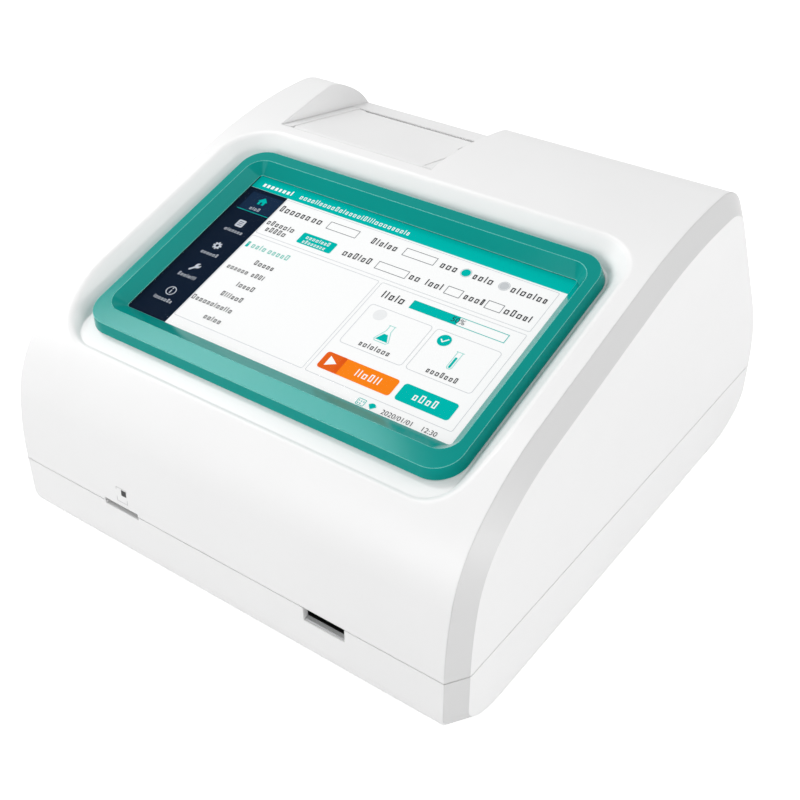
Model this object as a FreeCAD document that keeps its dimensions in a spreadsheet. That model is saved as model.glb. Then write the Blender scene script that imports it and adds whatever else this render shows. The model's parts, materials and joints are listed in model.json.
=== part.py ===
import FreeCAD, Part
import math
import os
import Sketcher
from FreeCAD import Placement, Rotation, Vector

# Desktop reader for rapid test cards. Millimetres; X to the right as seen from the front,
# Y towards the back, Z up. The origin is under the middle of the case, on the table top.

DRIVING = (
    # case, both halves
    ("case_width", 219.4, "width over the side faces"),
    ("case_depth", 249.0, "depth at the parting line"),
    ("case_height", 134.4, "height of the ridge above the table"),
    ("foot_height", 1.0, "how far the feet lift the case"),
    ("foot_radius", 8.0, "feet"),
    ("foot_inset", 25.7, "feet from the side faces"),
    ("foot_lead", 33.0, "feet from the front and the back"),
    ("parting_height", 29.0, "parting line above the table"),
    ("wall", 2.6, "thickness of the mouldings"),
    ("parting_gap", 0.3, "shadow line between the halves"),
    ("lip_height", 2.4, "tongue that locates the upper half"),
    ("lip_clearance", 0.15, "play round the tongue"),
    ("case_screw", 1.6, "radius of the case screws' clearance"),
    ("edge_run", 5.3, "edge bevel, measured across the case"),
    ("edge_drop", 8.2, "edge bevel, measured down from the outline"),
    ("base_front", 11.0, "radius under the front"),
    ("base_back", 16.0, "radius under the back"),
    ("front_rise", 2.0, "straight part of the front above the parting line"),
    ("front_sweep", 12.0, "side outline: lean of the front's arc, degrees"),
    ("knee_radius", 46.6, "side outline: knee over the front"),
    ("knee_sweep", 38.0, "turn of that arc, degrees"),
    ("brow_radius", 91.5, "side outline: knee to the sloping top"),
    ("top_tilt", 16.7, "slope of the top and the screen, degrees"),
    ("flat_length", 72.49, "flat part of the sloping top"),
    ("crown_radius", 225.0, "side outline: sloping top to the ridge"),
    ("ridge_radius", 26.0, "side outline: ridge to the back"),
    ("back_radius", 81.1, "side outline: back to the parting line"),
    # screen, in the plane of the sloping top
    ("picture_side", 32.65, "case beside the picture, which leaves 154.1 for a 7 inch panel"),
    ("picture_height", 85.9, "visible picture of a 7 inch panel"),
    ("glass_side", 5.45, "touch glass beside the picture"),
    ("glass_height", 100.0, "touch glass"),
    ("glass_thick", 1.8, "touch glass"),
    ("glass_chin", 8.1, "touch glass below the picture"),
    ("panel_thick", 5.7, "display panel under the glass"),
    ("screen_lead", 12.85, "picture starts this much before the flat of the top"),
    ("screen_sink", 9.1, "glass below the top surface"),
    ("recess_side", 11.25, "recess floor beside the picture"),
    ("recess_chin", 23.8, "recess floor below the picture"),
    ("recess_brow", 11.8, "recess floor above the picture"),
    ("recess_round", 12.0, "corner radius of the recess"),
    ("recess_flare", 42.0, "lean of the recess walls, degrees"),
    ("rim_soft", 3.0, "rounding of the recess rim"),
    ("frame_slit", 0.15, "screen frame above what it lies on"),
    ("frame_rise", 5.2, "screen frame above the glass"),
    ("frame_side", 10.45, "screen frame beside the picture"),
    ("frame_chin", 16.3, "screen frame below the picture"),
    ("frame_brow", 11.4, "screen frame above the picture"),
    ("frame_draft", 13.0, "lean of the frame's outer walls, degrees"),
    ("frame_round", 11.0, "corner radius of the frame"),
    ("funnel_side", 5.0, "inner slope of the frame at the sides and top"),
    ("funnel_chin", 7.0, "inner slope of the frame at the bottom"),
    # printer bay in the top
    ("bay_inset", 65.8, "middle of the printer bay from the left side"),
    ("bay_half", 39.8, "half width of the bay floor"),
    ("bay_lead", 39.34, "front tip of the bay floor before the ridge"),
    ("bay_sink", 3.6, "that tip below the ridge"),
    ("bay_tilt", 9.1, "fall of the bay floor to the back, degrees"),
    ("bay_flare", 12.0, "radius of the bay walls"),
    ("module_gap", 0.4, "gap round the printer module"),
    ("slot_place", 48.0, "paper slot along the bay floor"),
    ("slot_half", 30.5, "half length of the paper slot"),
    ("slot_wide", 1.6, "width of the paper slot"),
    ("module_length", 50.6, "opening of the bay floor along the slope"),
    ("rail", 4.5, "width of the module rails beside the lid"),
    ("lid_gap", 0.4, "gap round the lid"),
    ("lid_thick", 2.4, "lid"),
    ("hinge_place", 4.0, "hinge axis along the bay floor"),
    ("hinge_drop", 3.3, "hinge axis below the bay floor"),
    ("hinge_pin", 1.25, "radius of the hinge pin"),
    ("lever_length", 14.0, "release lever along the lid"),
    ("running", 0.05, "radial play of shafts in their bores"),
    ("well_depth", 52.0, "printer module below the bay floor"),
    ("well_wall", 2.0, "wall of the printer module"),
    ("roll_radius", 19.5, "full paper roll"),
    ("roll_half", 28.5, "half width of the paper roll"),
    ("roll_place", 24.5, "roll axis along the bay floor"),
    ("roll_drop", 30.0, "roll axis below the bay floor"),
    ("core_radius", 6.0, "cardboard core of the roll"),
    ("platen_place", 43.6, "platen axis along the bay floor"),
    ("platen_drop", 6.4, "platen axis below the bay floor"),
    ("platen_radius", 4.2, "rubber of the platen"),
    ("platen_half", 28.8, "half length of the platen rubber"),
    ("axle", 1.5, "radius of the platen shaft and gear stubs"),
    ("head_gap", 0.35, "between platen and print head"),
    ("head_thick", 3.0, "print head bar"),
    ("tooth_size", 0.5, "gear module"),
    ("platen_teeth", 14, "teeth on the platen gear"),
    ("idler_teeth", 20, "teeth on the idler"),
    ("pinion_teeth", 10, "teeth on the motor pinion"),
    ("gear_wide", 2.4, "face width of the gears"),
    # test card scanner
    ("card_inset", 56.95, "middle of the card slot from the right side"),
    ("card_wide", 18.7, "card slot"),
    ("card_high", 6.2, "card slot"),
    ("card_top", 29.0, "upper edge of the card slot above the table"),
    ("tray_length", 82.0, "card tray"),
    ("tray_wall", 1.6, "card tray"),
    ("tray_start", 9.0, "front end of the tray behind the front face"),
    ("travel", 55.0, "stroke of the tray"),
    ("rod_radius", 2.0, "guide rods"),
    ("rod_spacing", 32.0, "guide rods"),
    ("rod_level", 13.8, "axis of rods and screw above the table"),
    ("screw_radius", 2.0, "lead screw"),
    ("nut_radius", 3.3, "lead screw nut"),
    ("block_length", 40.0, "block under the tray, along the rods"),
    ("frame_plate", 1.6, "base plate of the scanner frame"),
    ("scan_start", 10.0, "front end of the scanner frame behind the front face"),
    ("scan_length", 148.0, "scanner frame"),
    ("head_place", 92.0, "optical axis behind the front face"),
    ("optic_gap", 1.6, "optics above the tray"),
    ("bridge_half", 26.5, "half width of the optics bridge"),
    ("bridge_plate", 2.5, "plates of the optics bridge"),
    ("bridge_deep", 36.0, "optics bridge along the tray"),
    ("head_wide", 30.0, "optical head across the tray"),
    ("head_deep", 28.0, "optical head along the tray"),
    ("head_high", 26.0, "optical head above the bridge"),
    ("barrel_radius", 6.0, "barrel of the objective"),
    ("lens_radius", 4.2, "objective lens and its bore"),
    ("lamp_level", 14.0, "light source above the bridge"),
    ("lamp_radius", 4.6, "light source and its bore"),
    # electronics
    ("board_level", 28.2, "underside of the main board above the table"),
    ("board_thick", 1.6, "boards"),
    ("board_inset", 11.7, "main board from the left side"),
    ("board_side", 85.7, "main board from the right side"),
    ("board_lead", 100.5, "main board behind the front face"),
    ("hole_inset", 6.0, "holes of the main board from its edges"),
    ("hole_back", 31.3, "rear holes of the main board from its rear edge, clear of the sockets"),
    ("id_inset", 60.85, "middle of the ID card slot from the left side"),
    ("id_wide", 18.1, "ID card slot"),
    ("id_high", 2.8, "ID card slot"),
    ("id_level", 29.0, "middle of the ID card slot above the table"),
    ("port_inset", 37.7, "rear opening from the left side"),
    ("port_side", 73.7, "rear opening from the right side"),
    ("port_high", 22.0, "rear opening above the parting line"),
    ("port_sink", 7.0, "rear plate in front of the back of the case"),
    ("port_plate", 1.6, "rear plate"),
    ("switch_wide", 19.0, "opening for the power switch"),
    ("switch_high", 13.0, "opening for the power switch"),
    ("rocker_tilt", 9.0, "tilt of the power rocker either way, degrees"),
)

doc = FreeCAD.newDocument("card_reader")


class Size:
    """A length or angle: its number, and the sheet formula that gives it."""

    def __init__(self, number, formula):
        self.number = number
        self.formula = formula

    def __add__(self, other):
        other = size(other)
        return Size(self.number + other.number, "(%s + %s)" % (self.formula, other.formula))

    def __sub__(self, other):
        other = size(other)
        return Size(self.number - other.number, "(%s - %s)" % (self.formula, other.formula))

    def __mul__(self, other):
        other = size(other)
        return Size(self.number * other.number, "%s * %s" % (self.formula, other.formula))

    def __truediv__(self, other):
        other = size(other)
        return Size(self.number / other.number, "%s / (%s)" % (self.formula, other.formula))

    def __neg__(self):
        return Size(-self.number, "(0 - %s)" % self.formula)

    __radd__ = __add__
    __rmul__ = __mul__

    def __rsub__(self, other):
        return size(other) - self

    def __rtruediv__(self, other):
        return size(other) / self


def size(thing):
    return thing if isinstance(thing, Size) else Size(float(thing), "(%.9g)" % thing)


def sine(angle):
    return Size(math.sin(math.radians(angle.number)), "sin(%s)" % angle.formula)


def cosine(angle):
    return Size(math.cos(math.radians(angle.number)), "cos(%s)" % angle.formula)


def tangent(angle):
    return Size(math.tan(math.radians(angle.number)), "tan(%s)" % angle.formula)


def arc_cosine(ratio):
    return Size(math.degrees(math.acos(ratio.number)), "acos(%s) / 1 deg" % ratio.formula)


def bearing(along, up):
    return Size(math.degrees(math.atan2(up.number, along.number)),
                "atan2(%s; %s) / 1 deg" % (up.formula, along.formula))


def root(square):
    return Size(math.sqrt(square.number), "sqrt(%s)" % square.formula)


class Sheet:
    """The spreadsheet of driving dimensions; s.wall is the size in the cell named wall."""

    def __init__(self, rows):
        cells = doc.addObject("Spreadsheet::Sheet", "Sizes")
        for row, (name, number, note) in enumerate(rows, 1):
            cells.set("A%d" % row, note)
            cells.set("B%d" % row, str(number))
            cells.setAlias("B%d" % row, name)
            setattr(self, name, Size(float(number), "Sizes." + name))
        self.cells, self.rows = cells, len(rows)
        doc.recompute()

    def derive(self, name, value):
        """A cell of its own for a size that follows from the driving ones."""
        self.rows += 1
        self.cells.set("B%d" % self.rows, "=" + value.formula.replace("Sizes.", ""))
        self.cells.setAlias("B%d" % self.rows, name)
        doc.recompute()
        return Size(value.number, "Sizes." + name)


s = Sheet(DRIVING)


def bind(thing, path, length):
    thing.setExpression(path, size(length).formula)


# ---- outlines: each returns a function that draws a closed, fully dimensioned outline ----

def dimension(sketch, kind, item, point, length):
    """Ties one coordinate of a sketch point to a size."""
    length = size(length)
    number = sketch.addConstraint(Sketcher.Constraint(kind, -1, 1, item, point, length.number))
    bind(sketch, "Constraints[%d]" % number, length)


def tie(sketch, kind, item, length):
    """Ties the radius or the angle of an item to a size."""
    length = size(length)
    number = math.radians(length.number) if kind == "Angle" else length.number
    index = sketch.addConstraint(Sketcher.Constraint(kind, item, number))
    bind(sketch, "Constraints[%d]" % index, length)


def polygon(*corners):
    corners = [(size(x), size(y)) for x, y in corners]

    def draw(sketch):
        first = sketch.GeometryCount
        count = len(corners)
        for this, after in zip(corners, corners[1:] + corners[:1]):
            sketch.addGeometry(Part.LineSegment(Vector(this[0].number, this[1].number, 0),
                                                Vector(after[0].number, after[1].number, 0)))
        for k in range(count):
            sketch.addConstraint(Sketcher.Constraint("Coincident", first + k, 2, first + (k + 1) % count, 1))
            dimension(sketch, "DistanceX", first + k, 1, corners[k][0])
            dimension(sketch, "DistanceY", first + k, 1, corners[k][1])
    return draw


def rectangle(x0, x1, y0, y1):
    return polygon((x0, y0), (x1, y0), (x1, y1), (x0, y1))


def circle(x, y, radius):
    x, y, radius = size(x), size(y), size(radius)

    def draw(sketch):
        item = sketch.addGeometry(Part.Circle(Vector(x.number, y.number, 0), Vector(0, 0, 1), radius.number))
        tie(sketch, "Radius", item, radius)
        dimension(sketch, "DistanceX", item, 3, x)
        dimension(sketch, "DistanceY", item, 3, y)
    return draw


def many_sided(x, y, radius, sides):
    """A regular polygon, with its corners on the circle of that radius."""
    turns = [2 * math.pi * k / sides for k in range(sides)]
    return polygon(*((x + radius * math.cos(turn), y + radius * math.sin(turn)) for turn in turns))


def rounded(x0, x1, y0, y1, radius):
    """A rectangle with round corners."""
    x0, x1, y0, y1, radius = (size(v) for v in (x0, x1, y0, y1, radius))

    def draw(sketch):
        first = sketch.GeometryCount
        left, right, low, high, r = x0.number, x1.number, y0.number, y1.number, radius.number
        centres = ((right - r, low + r), (right - r, high - r), (left + r, high - r), (left + r, low + r))
        sides = (((left + r, low), (right - r, low)), ((right, low + r), (right, high - r)),
                 ((right - r, high), (left + r, high)), ((left, high - r), (left, low + r)))
        for k in range(4):
            (ax, ay), (bx, by) = sides[k]
            cx, cy = centres[k]
            sketch.addGeometry(Part.LineSegment(Vector(ax, ay, 0), Vector(bx, by, 0)))
            ring = Part.Circle(Vector(cx, cy, 0), Vector(0, 0, 1), r)
            start = math.radians(90 * (k - 1))
            sketch.addGeometry(Part.ArcOfCircle(ring, start, start + math.pi / 2))
        for k in range(4):
            side, bend = first + 2 * k, first + 2 * k + 1
            sketch.addConstraint(Sketcher.Constraint("Tangent", side, 2, bend, 1))
            sketch.addConstraint(Sketcher.Constraint("Tangent", bend, 2, first + (2 * k + 2) % 8, 1))
            sketch.addConstraint(Sketcher.Constraint("Vertical" if k % 2 else "Horizontal", side))
            if k:
                sketch.addConstraint(Sketcher.Constraint("Equal", bend, first + 1))
        tie(sketch, "Radius", first + 1, radius)
        dimension(sketch, "DistanceY", first, 1, y0)
        dimension(sketch, "DistanceX", first + 2, 1, x1)
        dimension(sketch, "DistanceY", first + 4, 1, y1)
        dimension(sketch, "DistanceX", first + 6, 1, x0)
    return draw


# ---- pieces ----

class Piece:
    """A body that grows by pads and pockets laid between two stations of an axis."""

    PLANES = {"X": ("YZ_Plane", 1), "Y": ("XZ_Plane", -1), "Z": ("XY_Plane", 1)}

    def __init__(self, label, frame=None):
        self.body = doc.addObject("PartDesign::Body", label)
        self.body.Label = label
        if frame:
            frame.hold(self.body)

    def sketch(self, axis, outlines, start):
        role, side = self.PLANES[axis]
        sketch = self.body.newObject("Sketcher::SketchObject", self.body.Name + "_outline")
        plane = [f for f in self.body.Origin.OriginFeatures if f.Role == role][0]
        sketch.AttachmentSupport = [(plane, "")]
        sketch.MapMode = "FlatFace"
        bind(sketch, "AttachmentOffset.Base.z", size(start) * side)
        for draw in outlines if isinstance(outlines, (list, tuple)) else [outlines]:
            draw(sketch)
        return sketch

    def grow(self, kind, axis, outlines, start, end):
        sketch = self.sketch(axis, outlines, start)
        feature = self.body.newObject("PartDesign::" + kind, self.body.Name + "_" + kind.lower())
        feature.Profile = sketch
        feature.Reversed = (self.PLANES[axis][1] < 0) == (kind == "Pad")
        feature.Length = abs(size(end).number - size(start).number)
        bind(feature, "Length", size(end) - size(start))
        return feature

    def pad(self, axis, outlines, start, end):
        return self.grow("Pad", axis, outlines, start, end)

    def pocket(self, axis, outlines, start, end):
        return self.grow("Pocket", axis, outlines, start, end)

    def block(self, x0, x1, y0, y1, z0, z1):
        return self.pad("Z", rectangle(x0, x1, y0, y1), z0, z1)

    def hollow(self, x0, x1, y0, y1, z0, z1):
        return self.pocket("Z", rectangle(x0, x1, y0, y1), z0, z1)

    def dress(self, kind, chosen):
        """A fillet or chamfer on the edges of the shape so far that the test picks."""
        doc.recompute()
        tip = self.body.Tip
        names = ["Edge%d" % n for n, edge in enumerate(tip.Shape.Edges, 1) if chosen(edge)]
        feature = self.body.newObject("PartDesign::" + kind, self.body.Name + "_" + kind.lower())
        feature.Base = (tip, names)
        return feature

    def fillet(self, radius, chosen):
        bind(self.dress("Fillet", chosen), "Radius", radius)

    def bevel(self, first, second, chosen, flip=False):
        feature = self.dress("Chamfer", chosen)
        feature.ChamferType = "Two distances"
        feature.FlipDirection = flip
        bind(feature, "Size", first)
        bind(feature, "Size2", second)

    def repeat_round(self, feature, axis, count):
        """Copies one feature round an axis of the body."""
        pattern = self.body.newObject("PartDesign::PolarPattern", self.body.Name + "_ring")
        pattern.Originals = [feature]
        pattern.Axis = ([f for f in self.body.Origin.OriginFeatures if f.Role == axis + "_Axis"][0], [""])
        pattern.Occurrences = int(count.number)
        bind(pattern, "Occurrences", count)
        self.body.Tip = pattern

    def repeat_along(self, feature, axis, length, count):
        """Copies one feature along an axis of the body."""
        pattern = self.body.newObject("PartDesign::LinearPattern", self.body.Name + "_row")
        pattern.Originals = [feature]
        lines = [f for f in self.body.Origin.OriginFeatures if f.Role == axis + "_Axis"]
        pattern.Direction = (lines[0], [""])
        pattern.Occurrences = count
        pattern.Length = size(length).number
        bind(pattern, "Length", length)
        self.body.Tip = pattern


class Frame:
    """A plane that leans back by an angle about X, with its own origin."""

    def __init__(self, x, y, z, lean):
        self.x, self.y, self.z, self.lean = size(x), size(y), size(z), size(lean)

    def hold(self, thing):
        thing.Placement = Placement(Vector(self.x.number, self.y.number, self.z.number),
                                    Rotation(Vector(1, 0, 0), self.lean.number))
        bind(thing, "Placement.Base.x", self.x)
        bind(thing, "Placement.Base.y", self.y)
        bind(thing, "Placement.Base.z", self.z)
        if self.lean.number:
            bind(thing, "Placement.Rotation.Angle", self.lean)


def join(label, *parts):
    result = doc.addObject("Part::MultiFuse", label)
    result.Label = label
    result.Shapes = [p.body if isinstance(p, Piece) else p for p in parts]
    result.Refine = True
    return result


def without(label, base, *tools):
    tool = tools[0] if len(tools) == 1 else join(label + "_tools", *tools)
    result = doc.addObject("Part::Cut", label)
    result.Label = label
    result.Base = base.body if isinstance(base, Piece) else base
    result.Tool = tool.body if isinstance(tool, Piece) else tool
    result.Refine = True
    return result


def overlap(label, first, second):
    result = doc.addObject("Part::MultiCommon", label)
    result.Label = label
    result.Shapes = [p.body if isinstance(p, Piece) else p for p in (first, second)]
    result.Refine = True
    return result


def soften(label, base, radius, chosen):
    """Rounds the edges of a combined shape that the test picks."""
    doc.recompute()
    result = doc.addObject("Part::Fillet", label)
    result.Base = base
    result.Edges = [(n, radius.number, radius.number) for n, edge in enumerate(base.Shape.Edges, 1)
                    if chosen(edge)]
    return result


nodes = []


def finished(piece):
    """Registers a finished sub-part; its label names its file."""
    nodes.append(piece.body if isinstance(piece, Piece) else piece)
    return nodes[-1]


# ---- places that several pieces share ----

front = -s.case_depth / 2
back = s.case_depth / 2
seam = s.parting_height
floor = s.foot_height + s.wall

turn_one = 90 - s.front_sweep
turn_two = turn_one - s.knee_sweep
# the case height sets how far the front's arc rises; all above it keeps its shape
flat_z = s.derive("flat_z", s.case_height - s.crown_radius * (1 - cosine(s.top_tilt))
                  - s.flat_length * sine(s.top_tilt))
knee_z = s.derive("knee_z", flat_z - s.brow_radius * (cosine(s.top_tilt) - cosine(turn_two))
                  - s.knee_radius * (cosine(turn_two) - cosine(turn_one)))
front_radius = s.derive("front_radius", (knee_z - seam - s.front_rise) / cosine(turn_one))
flat_y = s.derive("flat_y", front + front_radius * (1 - sine(turn_one))
                  + s.knee_radius * (sine(turn_one) - sine(turn_two))
                  + s.brow_radius * (sine(turn_two) - sine(s.top_tilt)))
ridge_y = s.derive("ridge_y", flat_y + s.flat_length * cosine(s.top_tilt) + s.crown_radius * sine(s.top_tilt))


def common_tangent(name, along, up, difference):
    """Angle of the line that touches two arcs, from the step between their centres."""
    along, up = s.derive(name + "_along", along), s.derive(name + "_up", up)
    apart = s.derive(name + "_apart", root(along * along + up * up))
    return s.derive(name, bearing(along, up) + arc_cosine(difference / apart) - 90)


back_tilt = -common_tangent("back_slope", back - s.back_radius - ridge_y,
                            seam - (s.case_height - s.ridge_radius), s.ridge_radius - s.back_radius)

# screen frame: X across, Y up the slope, Z out of the glass; origin at the picture's lower edge
screen_y = flat_y - s.screen_lead * cosine(s.top_tilt) + s.screen_sink * sine(s.top_tilt)
screen_z = flat_z - s.screen_lead * sine(s.top_tilt) - s.screen_sink * cosine(s.top_tilt)
screen = Frame(0, s.derive("screen_y", screen_y), s.derive("screen_z", screen_z), s.top_tilt)

# bay frame: X across, Y along the bay floor to the back, Z out of the floor; origin at its front tip
bay = Frame(s.bay_inset - s.case_width / 2, ridge_y - s.bay_lead, s.case_height - s.bay_sink, -s.bay_tilt)

card_x = s.case_width / 2 - s.card_inset
id_x = s.id_inset - s.case_width / 2

rail_out = s.bay_half - s.module_gap
rail_in = rail_out - s.rail
lid_half = rail_in - s.lid_gap


def side_outline(inset, bottom):
    """Side view of the case, moved inwards by inset: front, knee, sloping top, ridge, back."""
    inset, bottom = size(inset), size(bottom)

    def draw(sketch):
        d = inset.number
        radii = [r.number - d for r in (front_radius, s.knee_radius, s.brow_radius, s.crown_radius,
                                        s.ridge_radius, s.back_radius)]
        turns = [90.0, turn_one.number, turn_two.number, s.top_tilt.number, 0.0, -back_tilt.number, -90.0]

        def inward(angle):
            return Vector(math.sin(math.radians(angle)), -math.cos(math.radians(angle)), 0)

        def arc(point, turn):
            """An arc that starts or ends at the point, running from one turn to the next."""
            radius, first, last = radii[turn], turns[turn], turns[turn + 1]
            begins = turn < 3
            centre = point + inward(first if begins else last) * radius
            ring = Part.Circle(centre, Vector(0, 0, 1), radius)
            item = Part.ArcOfCircle(ring, math.radians(last + 90), math.radians(first + 90))
            return item, centre - inward(last if begins else first) * radius

        low, rear = bottom.number, back.number - d
        start = Vector(front.number + d, seam.number + s.front_rise.number, 0)
        items = [Part.LineSegment(Vector(rear, low, 0), Vector(start.x, low, 0)),
                 Part.LineSegment(Vector(start.x, low, 0), start)]
        point = start
        for turn in range(3):
            item, point = arc(point, turn)
            items.append(item)
        ridge = Vector(ridge_y.number, s.case_height.number - d, 0)
        crown, crown_start = arc(ridge, 3)
        ring = Part.Circle(ridge + inward(0) * radii[4], Vector(0, 0, 1), radii[4])
        over = Part.ArcOfCircle(ring, math.radians(turns[5] + 90), math.radians(90))
        over_end = ridge + inward(0) * radii[4] - inward(turns[5]) * radii[4]
        tail, tail_start = arc(Vector(rear, seam.number, 0), 5)
        items += [Part.LineSegment(point, crown_start), crown, over,
                  Part.LineSegment(over_end, tail_start), tail,
                  Part.LineSegment(Vector(rear, seam.number, 0), Vector(rear, low, 0))]
        for item in items:
            sketch.addGeometry(item)

        bends = {2, 3, 4, 6, 7, 9}
        for k in range(1, 10):
            leaving = 1 if k in bends else 2
            entering = 2 if k + 1 in bends else 1
            sketch.addConstraint(Sketcher.Constraint("Tangent", k, leaving, k + 1, entering))
        sketch.addConstraint(Sketcher.Constraint("Coincident", 0, 2, 1, 1))
        sketch.addConstraint(Sketcher.Constraint("Coincident", 10, 2, 0, 1))
        sketch.addConstraint(Sketcher.Constraint("Horizontal", 0))
        sketch.addConstraint(Sketcher.Constraint("Vertical", 1))
        sketch.addConstraint(Sketcher.Constraint("Vertical", 10))
        sketch.addConstraint(Sketcher.Constraint("Vertical", 6, 1, 6, 3))
        for item, radius in ((2, front_radius), (3, s.knee_radius), (4, s.brow_radius),
                             (6, s.crown_radius), (7, s.ridge_radius), (9, s.back_radius)):
            tie(sketch, "Radius", item, radius - inset)
        tie(sketch, "Angle", 2, s.front_sweep)
        tie(sketch, "Angle", 3, s.knee_sweep)
        dimension(sketch, "DistanceX", 6, 1, ridge_y)
        dimension(sketch, "DistanceY", 0, 1, bottom)
        dimension(sketch, "DistanceX", 1, 1, front + inset)
        dimension(sketch, "DistanceY", 1, 2, seam + s.front_rise)
        dimension(sketch, "DistanceY", 6, 1, s.case_height - inset)
        dimension(sketch, "DistanceX", 10, 1, back - inset)
        dimension(sketch, "DistanceY", 9, 1, seam)
    return draw


def case_form(label, inset, bottom):
    """The bevelled block of the whole case, moved inwards by inset."""
    inset, bottom = size(inset), size(bottom)
    form = Piece(label)
    half = s.case_width / 2 - inset
    form.pad("X", side_outline(inset, bottom), -half, half)

    def on_flank(edge):
        box = edge.BoundBox
        return box.XLength < 0.01 and (box.ZLength > 0.01 or box.ZMin > seam.number)
    form.bevel(s.edge_run, s.edge_drop, on_flank)

    def underneath(end):
        def chosen(edge):
            box = edge.BoundBox
            return box.ZMax < bottom.number + 0.01 and box.XLength > 0.01 and box.YMin * end > 0
        return chosen
    form.fillet(s.base_front - inset, underneath(-1))
    form.fillet(s.base_back - inset, underneath(1))
    return form


# ---- case ----

panel_low = -s.glass_chin
panel_high = s.glass_height - s.glass_chin
picture_half = s.derive("picture_half", s.case_width / 2 - s.picture_side)
glass_half = picture_half + s.glass_side
recess_half = picture_half + s.recess_side
recess_low = -s.recess_chin
recess_high = s.picture_height + s.recess_brow

post_x = s.case_width / 2 - s.wall - 9.5
post_front = front + s.wall + 14
post_back = back - s.wall - 26
POSTS = ((-1, post_front), (1, post_front), (-1, post_back), (1, post_back))


def screen_recess(label, grow, height):
    """The flared recess round the screen, larger by grow on every side and underneath."""
    tool = Piece(label, screen)
    outline = rounded(-recess_half - grow, recess_half + grow, recess_low - grow, recess_high + grow,
                      s.recess_round + grow)
    pad = tool.pad("Z", outline, -size(grow), height)
    pad.TaperAngle = s.recess_flare.number
    bind(pad, "TaperAngle", s.recess_flare)
    return tool


def on_recess_rim(edge):
    """True for an edge where the recess walls meet the outer surface."""
    local = Placement(Vector(0, screen.y.number, screen.z.number),
                      Rotation(Vector(1, 0, 0), screen.lean.number)).inverse()
    step = (edge.LastParameter - edge.FirstParameter) / 4
    points = [local.multVec(edge.valueAt(edge.FirstParameter + step * k)) for k in range(5)]
    reach = s.screen_sink.number + 1
    return (all(abs(p.x) < recess_half.number + reach and 0.02 < p.z < reach
                and recess_low.number - reach < p.y < recess_high.number + reach for p in points))


def bay_outline(grow):
    """Cross-section of the printer bay: flat floor, walls that flare outwards in an arc."""
    def draw(sketch):
        half, flare, low, high = s.bay_half + grow, s.bay_flare, -size(grow), s.bay_flare * 3
        h, r, z0, z1 = half.number, flare.number - size(grow).number, low.number, high.number
        out = h + r
        points = ((-h, z0), (h, z0), (out, z0 + r), (out, z1), (-out, z1), (-out, z0 + r))
        sketch.addGeometry(Part.LineSegment(Vector(-h, z0, 0), Vector(h, z0, 0)))
        ring = Part.Circle(Vector(out, z0, 0), Vector(0, 0, 1), r)
        sketch.addGeometry(Part.ArcOfCircle(ring, math.pi / 2, math.pi))
        for a, b in zip(points[2:], points[3:]):
            sketch.addGeometry(Part.LineSegment(Vector(a[0], a[1], 0), Vector(b[0], b[1], 0)))
        ring = Part.Circle(Vector(-out, z0, 0), Vector(0, 0, 1), r)
        sketch.addGeometry(Part.ArcOfCircle(ring, 0, math.pi / 2))
        links = ((0, 2, 1, 2), (1, 1, 2, 1), (2, 2, 3, 1), (3, 2, 4, 1), (4, 2, 5, 2), (5, 1, 0, 1))
        for link in links:
            sketch.addConstraint(Sketcher.Constraint("Coincident", *link))
        for item, end in ((1, 2), (5, 1)):
            sketch.addConstraint(Sketcher.Constraint("Horizontal", item, end, item, 3))
        for item, end in ((1, 1), (5, 2)):
            sketch.addConstraint(Sketcher.Constraint("Vertical", item, end, item, 3))
        sketch.addConstraint(Sketcher.Constraint("Horizontal", 3))
        sketch.addConstraint(Sketcher.Constraint("Vertical", 2))
        sketch.addConstraint(Sketcher.Constraint("Vertical", 4))
        tie(sketch, "Radius", 1, flare - grow)
        tie(sketch, "Radius", 5, flare - grow)
        dimension(sketch, "DistanceX", 0, 1, -half)
        dimension(sketch, "DistanceX", 0, 2, half)
        dimension(sketch, "DistanceY", 0, 1, low)
        dimension(sketch, "DistanceY", 0, 2, low)
        dimension(sketch, "DistanceY", 3, 1, high)
    return draw


def bay_tool(label, grow):
    tool = Piece(label, bay)
    tool.pad("Y", bay_outline(grow), -6 - size(grow), 90)
    return tool


def seam_block(label, low, high):
    block = Piece(label)
    wide = s.case_width
    block.block(-wide, wide, -s.case_depth, s.case_depth, low, high)
    return block


outside = case_form("case_outside", 0, s.foot_height)
inside = case_form("case_inside", s.wall, floor)
tongue_in = s.wall / 2
tongue_outside = case_form("tongue_outside", tongue_in + s.lip_clearance, floor)
rebate_outside = case_form("rebate_outside", tongue_in, floor)

slot_low = s.card_top - s.card_high
slot_left = card_x - s.card_wide / 2
slot_right = card_x + s.card_wide / 2


def front_slots(label, depth):
    """The two card openings through the front wall."""
    tool = Piece(label)
    tool.block(slot_left, slot_right, front - 1, front + depth, slot_low, s.card_top + s.parting_gap / 2)
    tool.block(id_x - s.id_wide / 2, id_x + s.id_wide / 2, front - 1, front + depth,
               s.id_level - s.id_high / 2, s.id_level + s.id_high / 2)
    return tool


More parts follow.
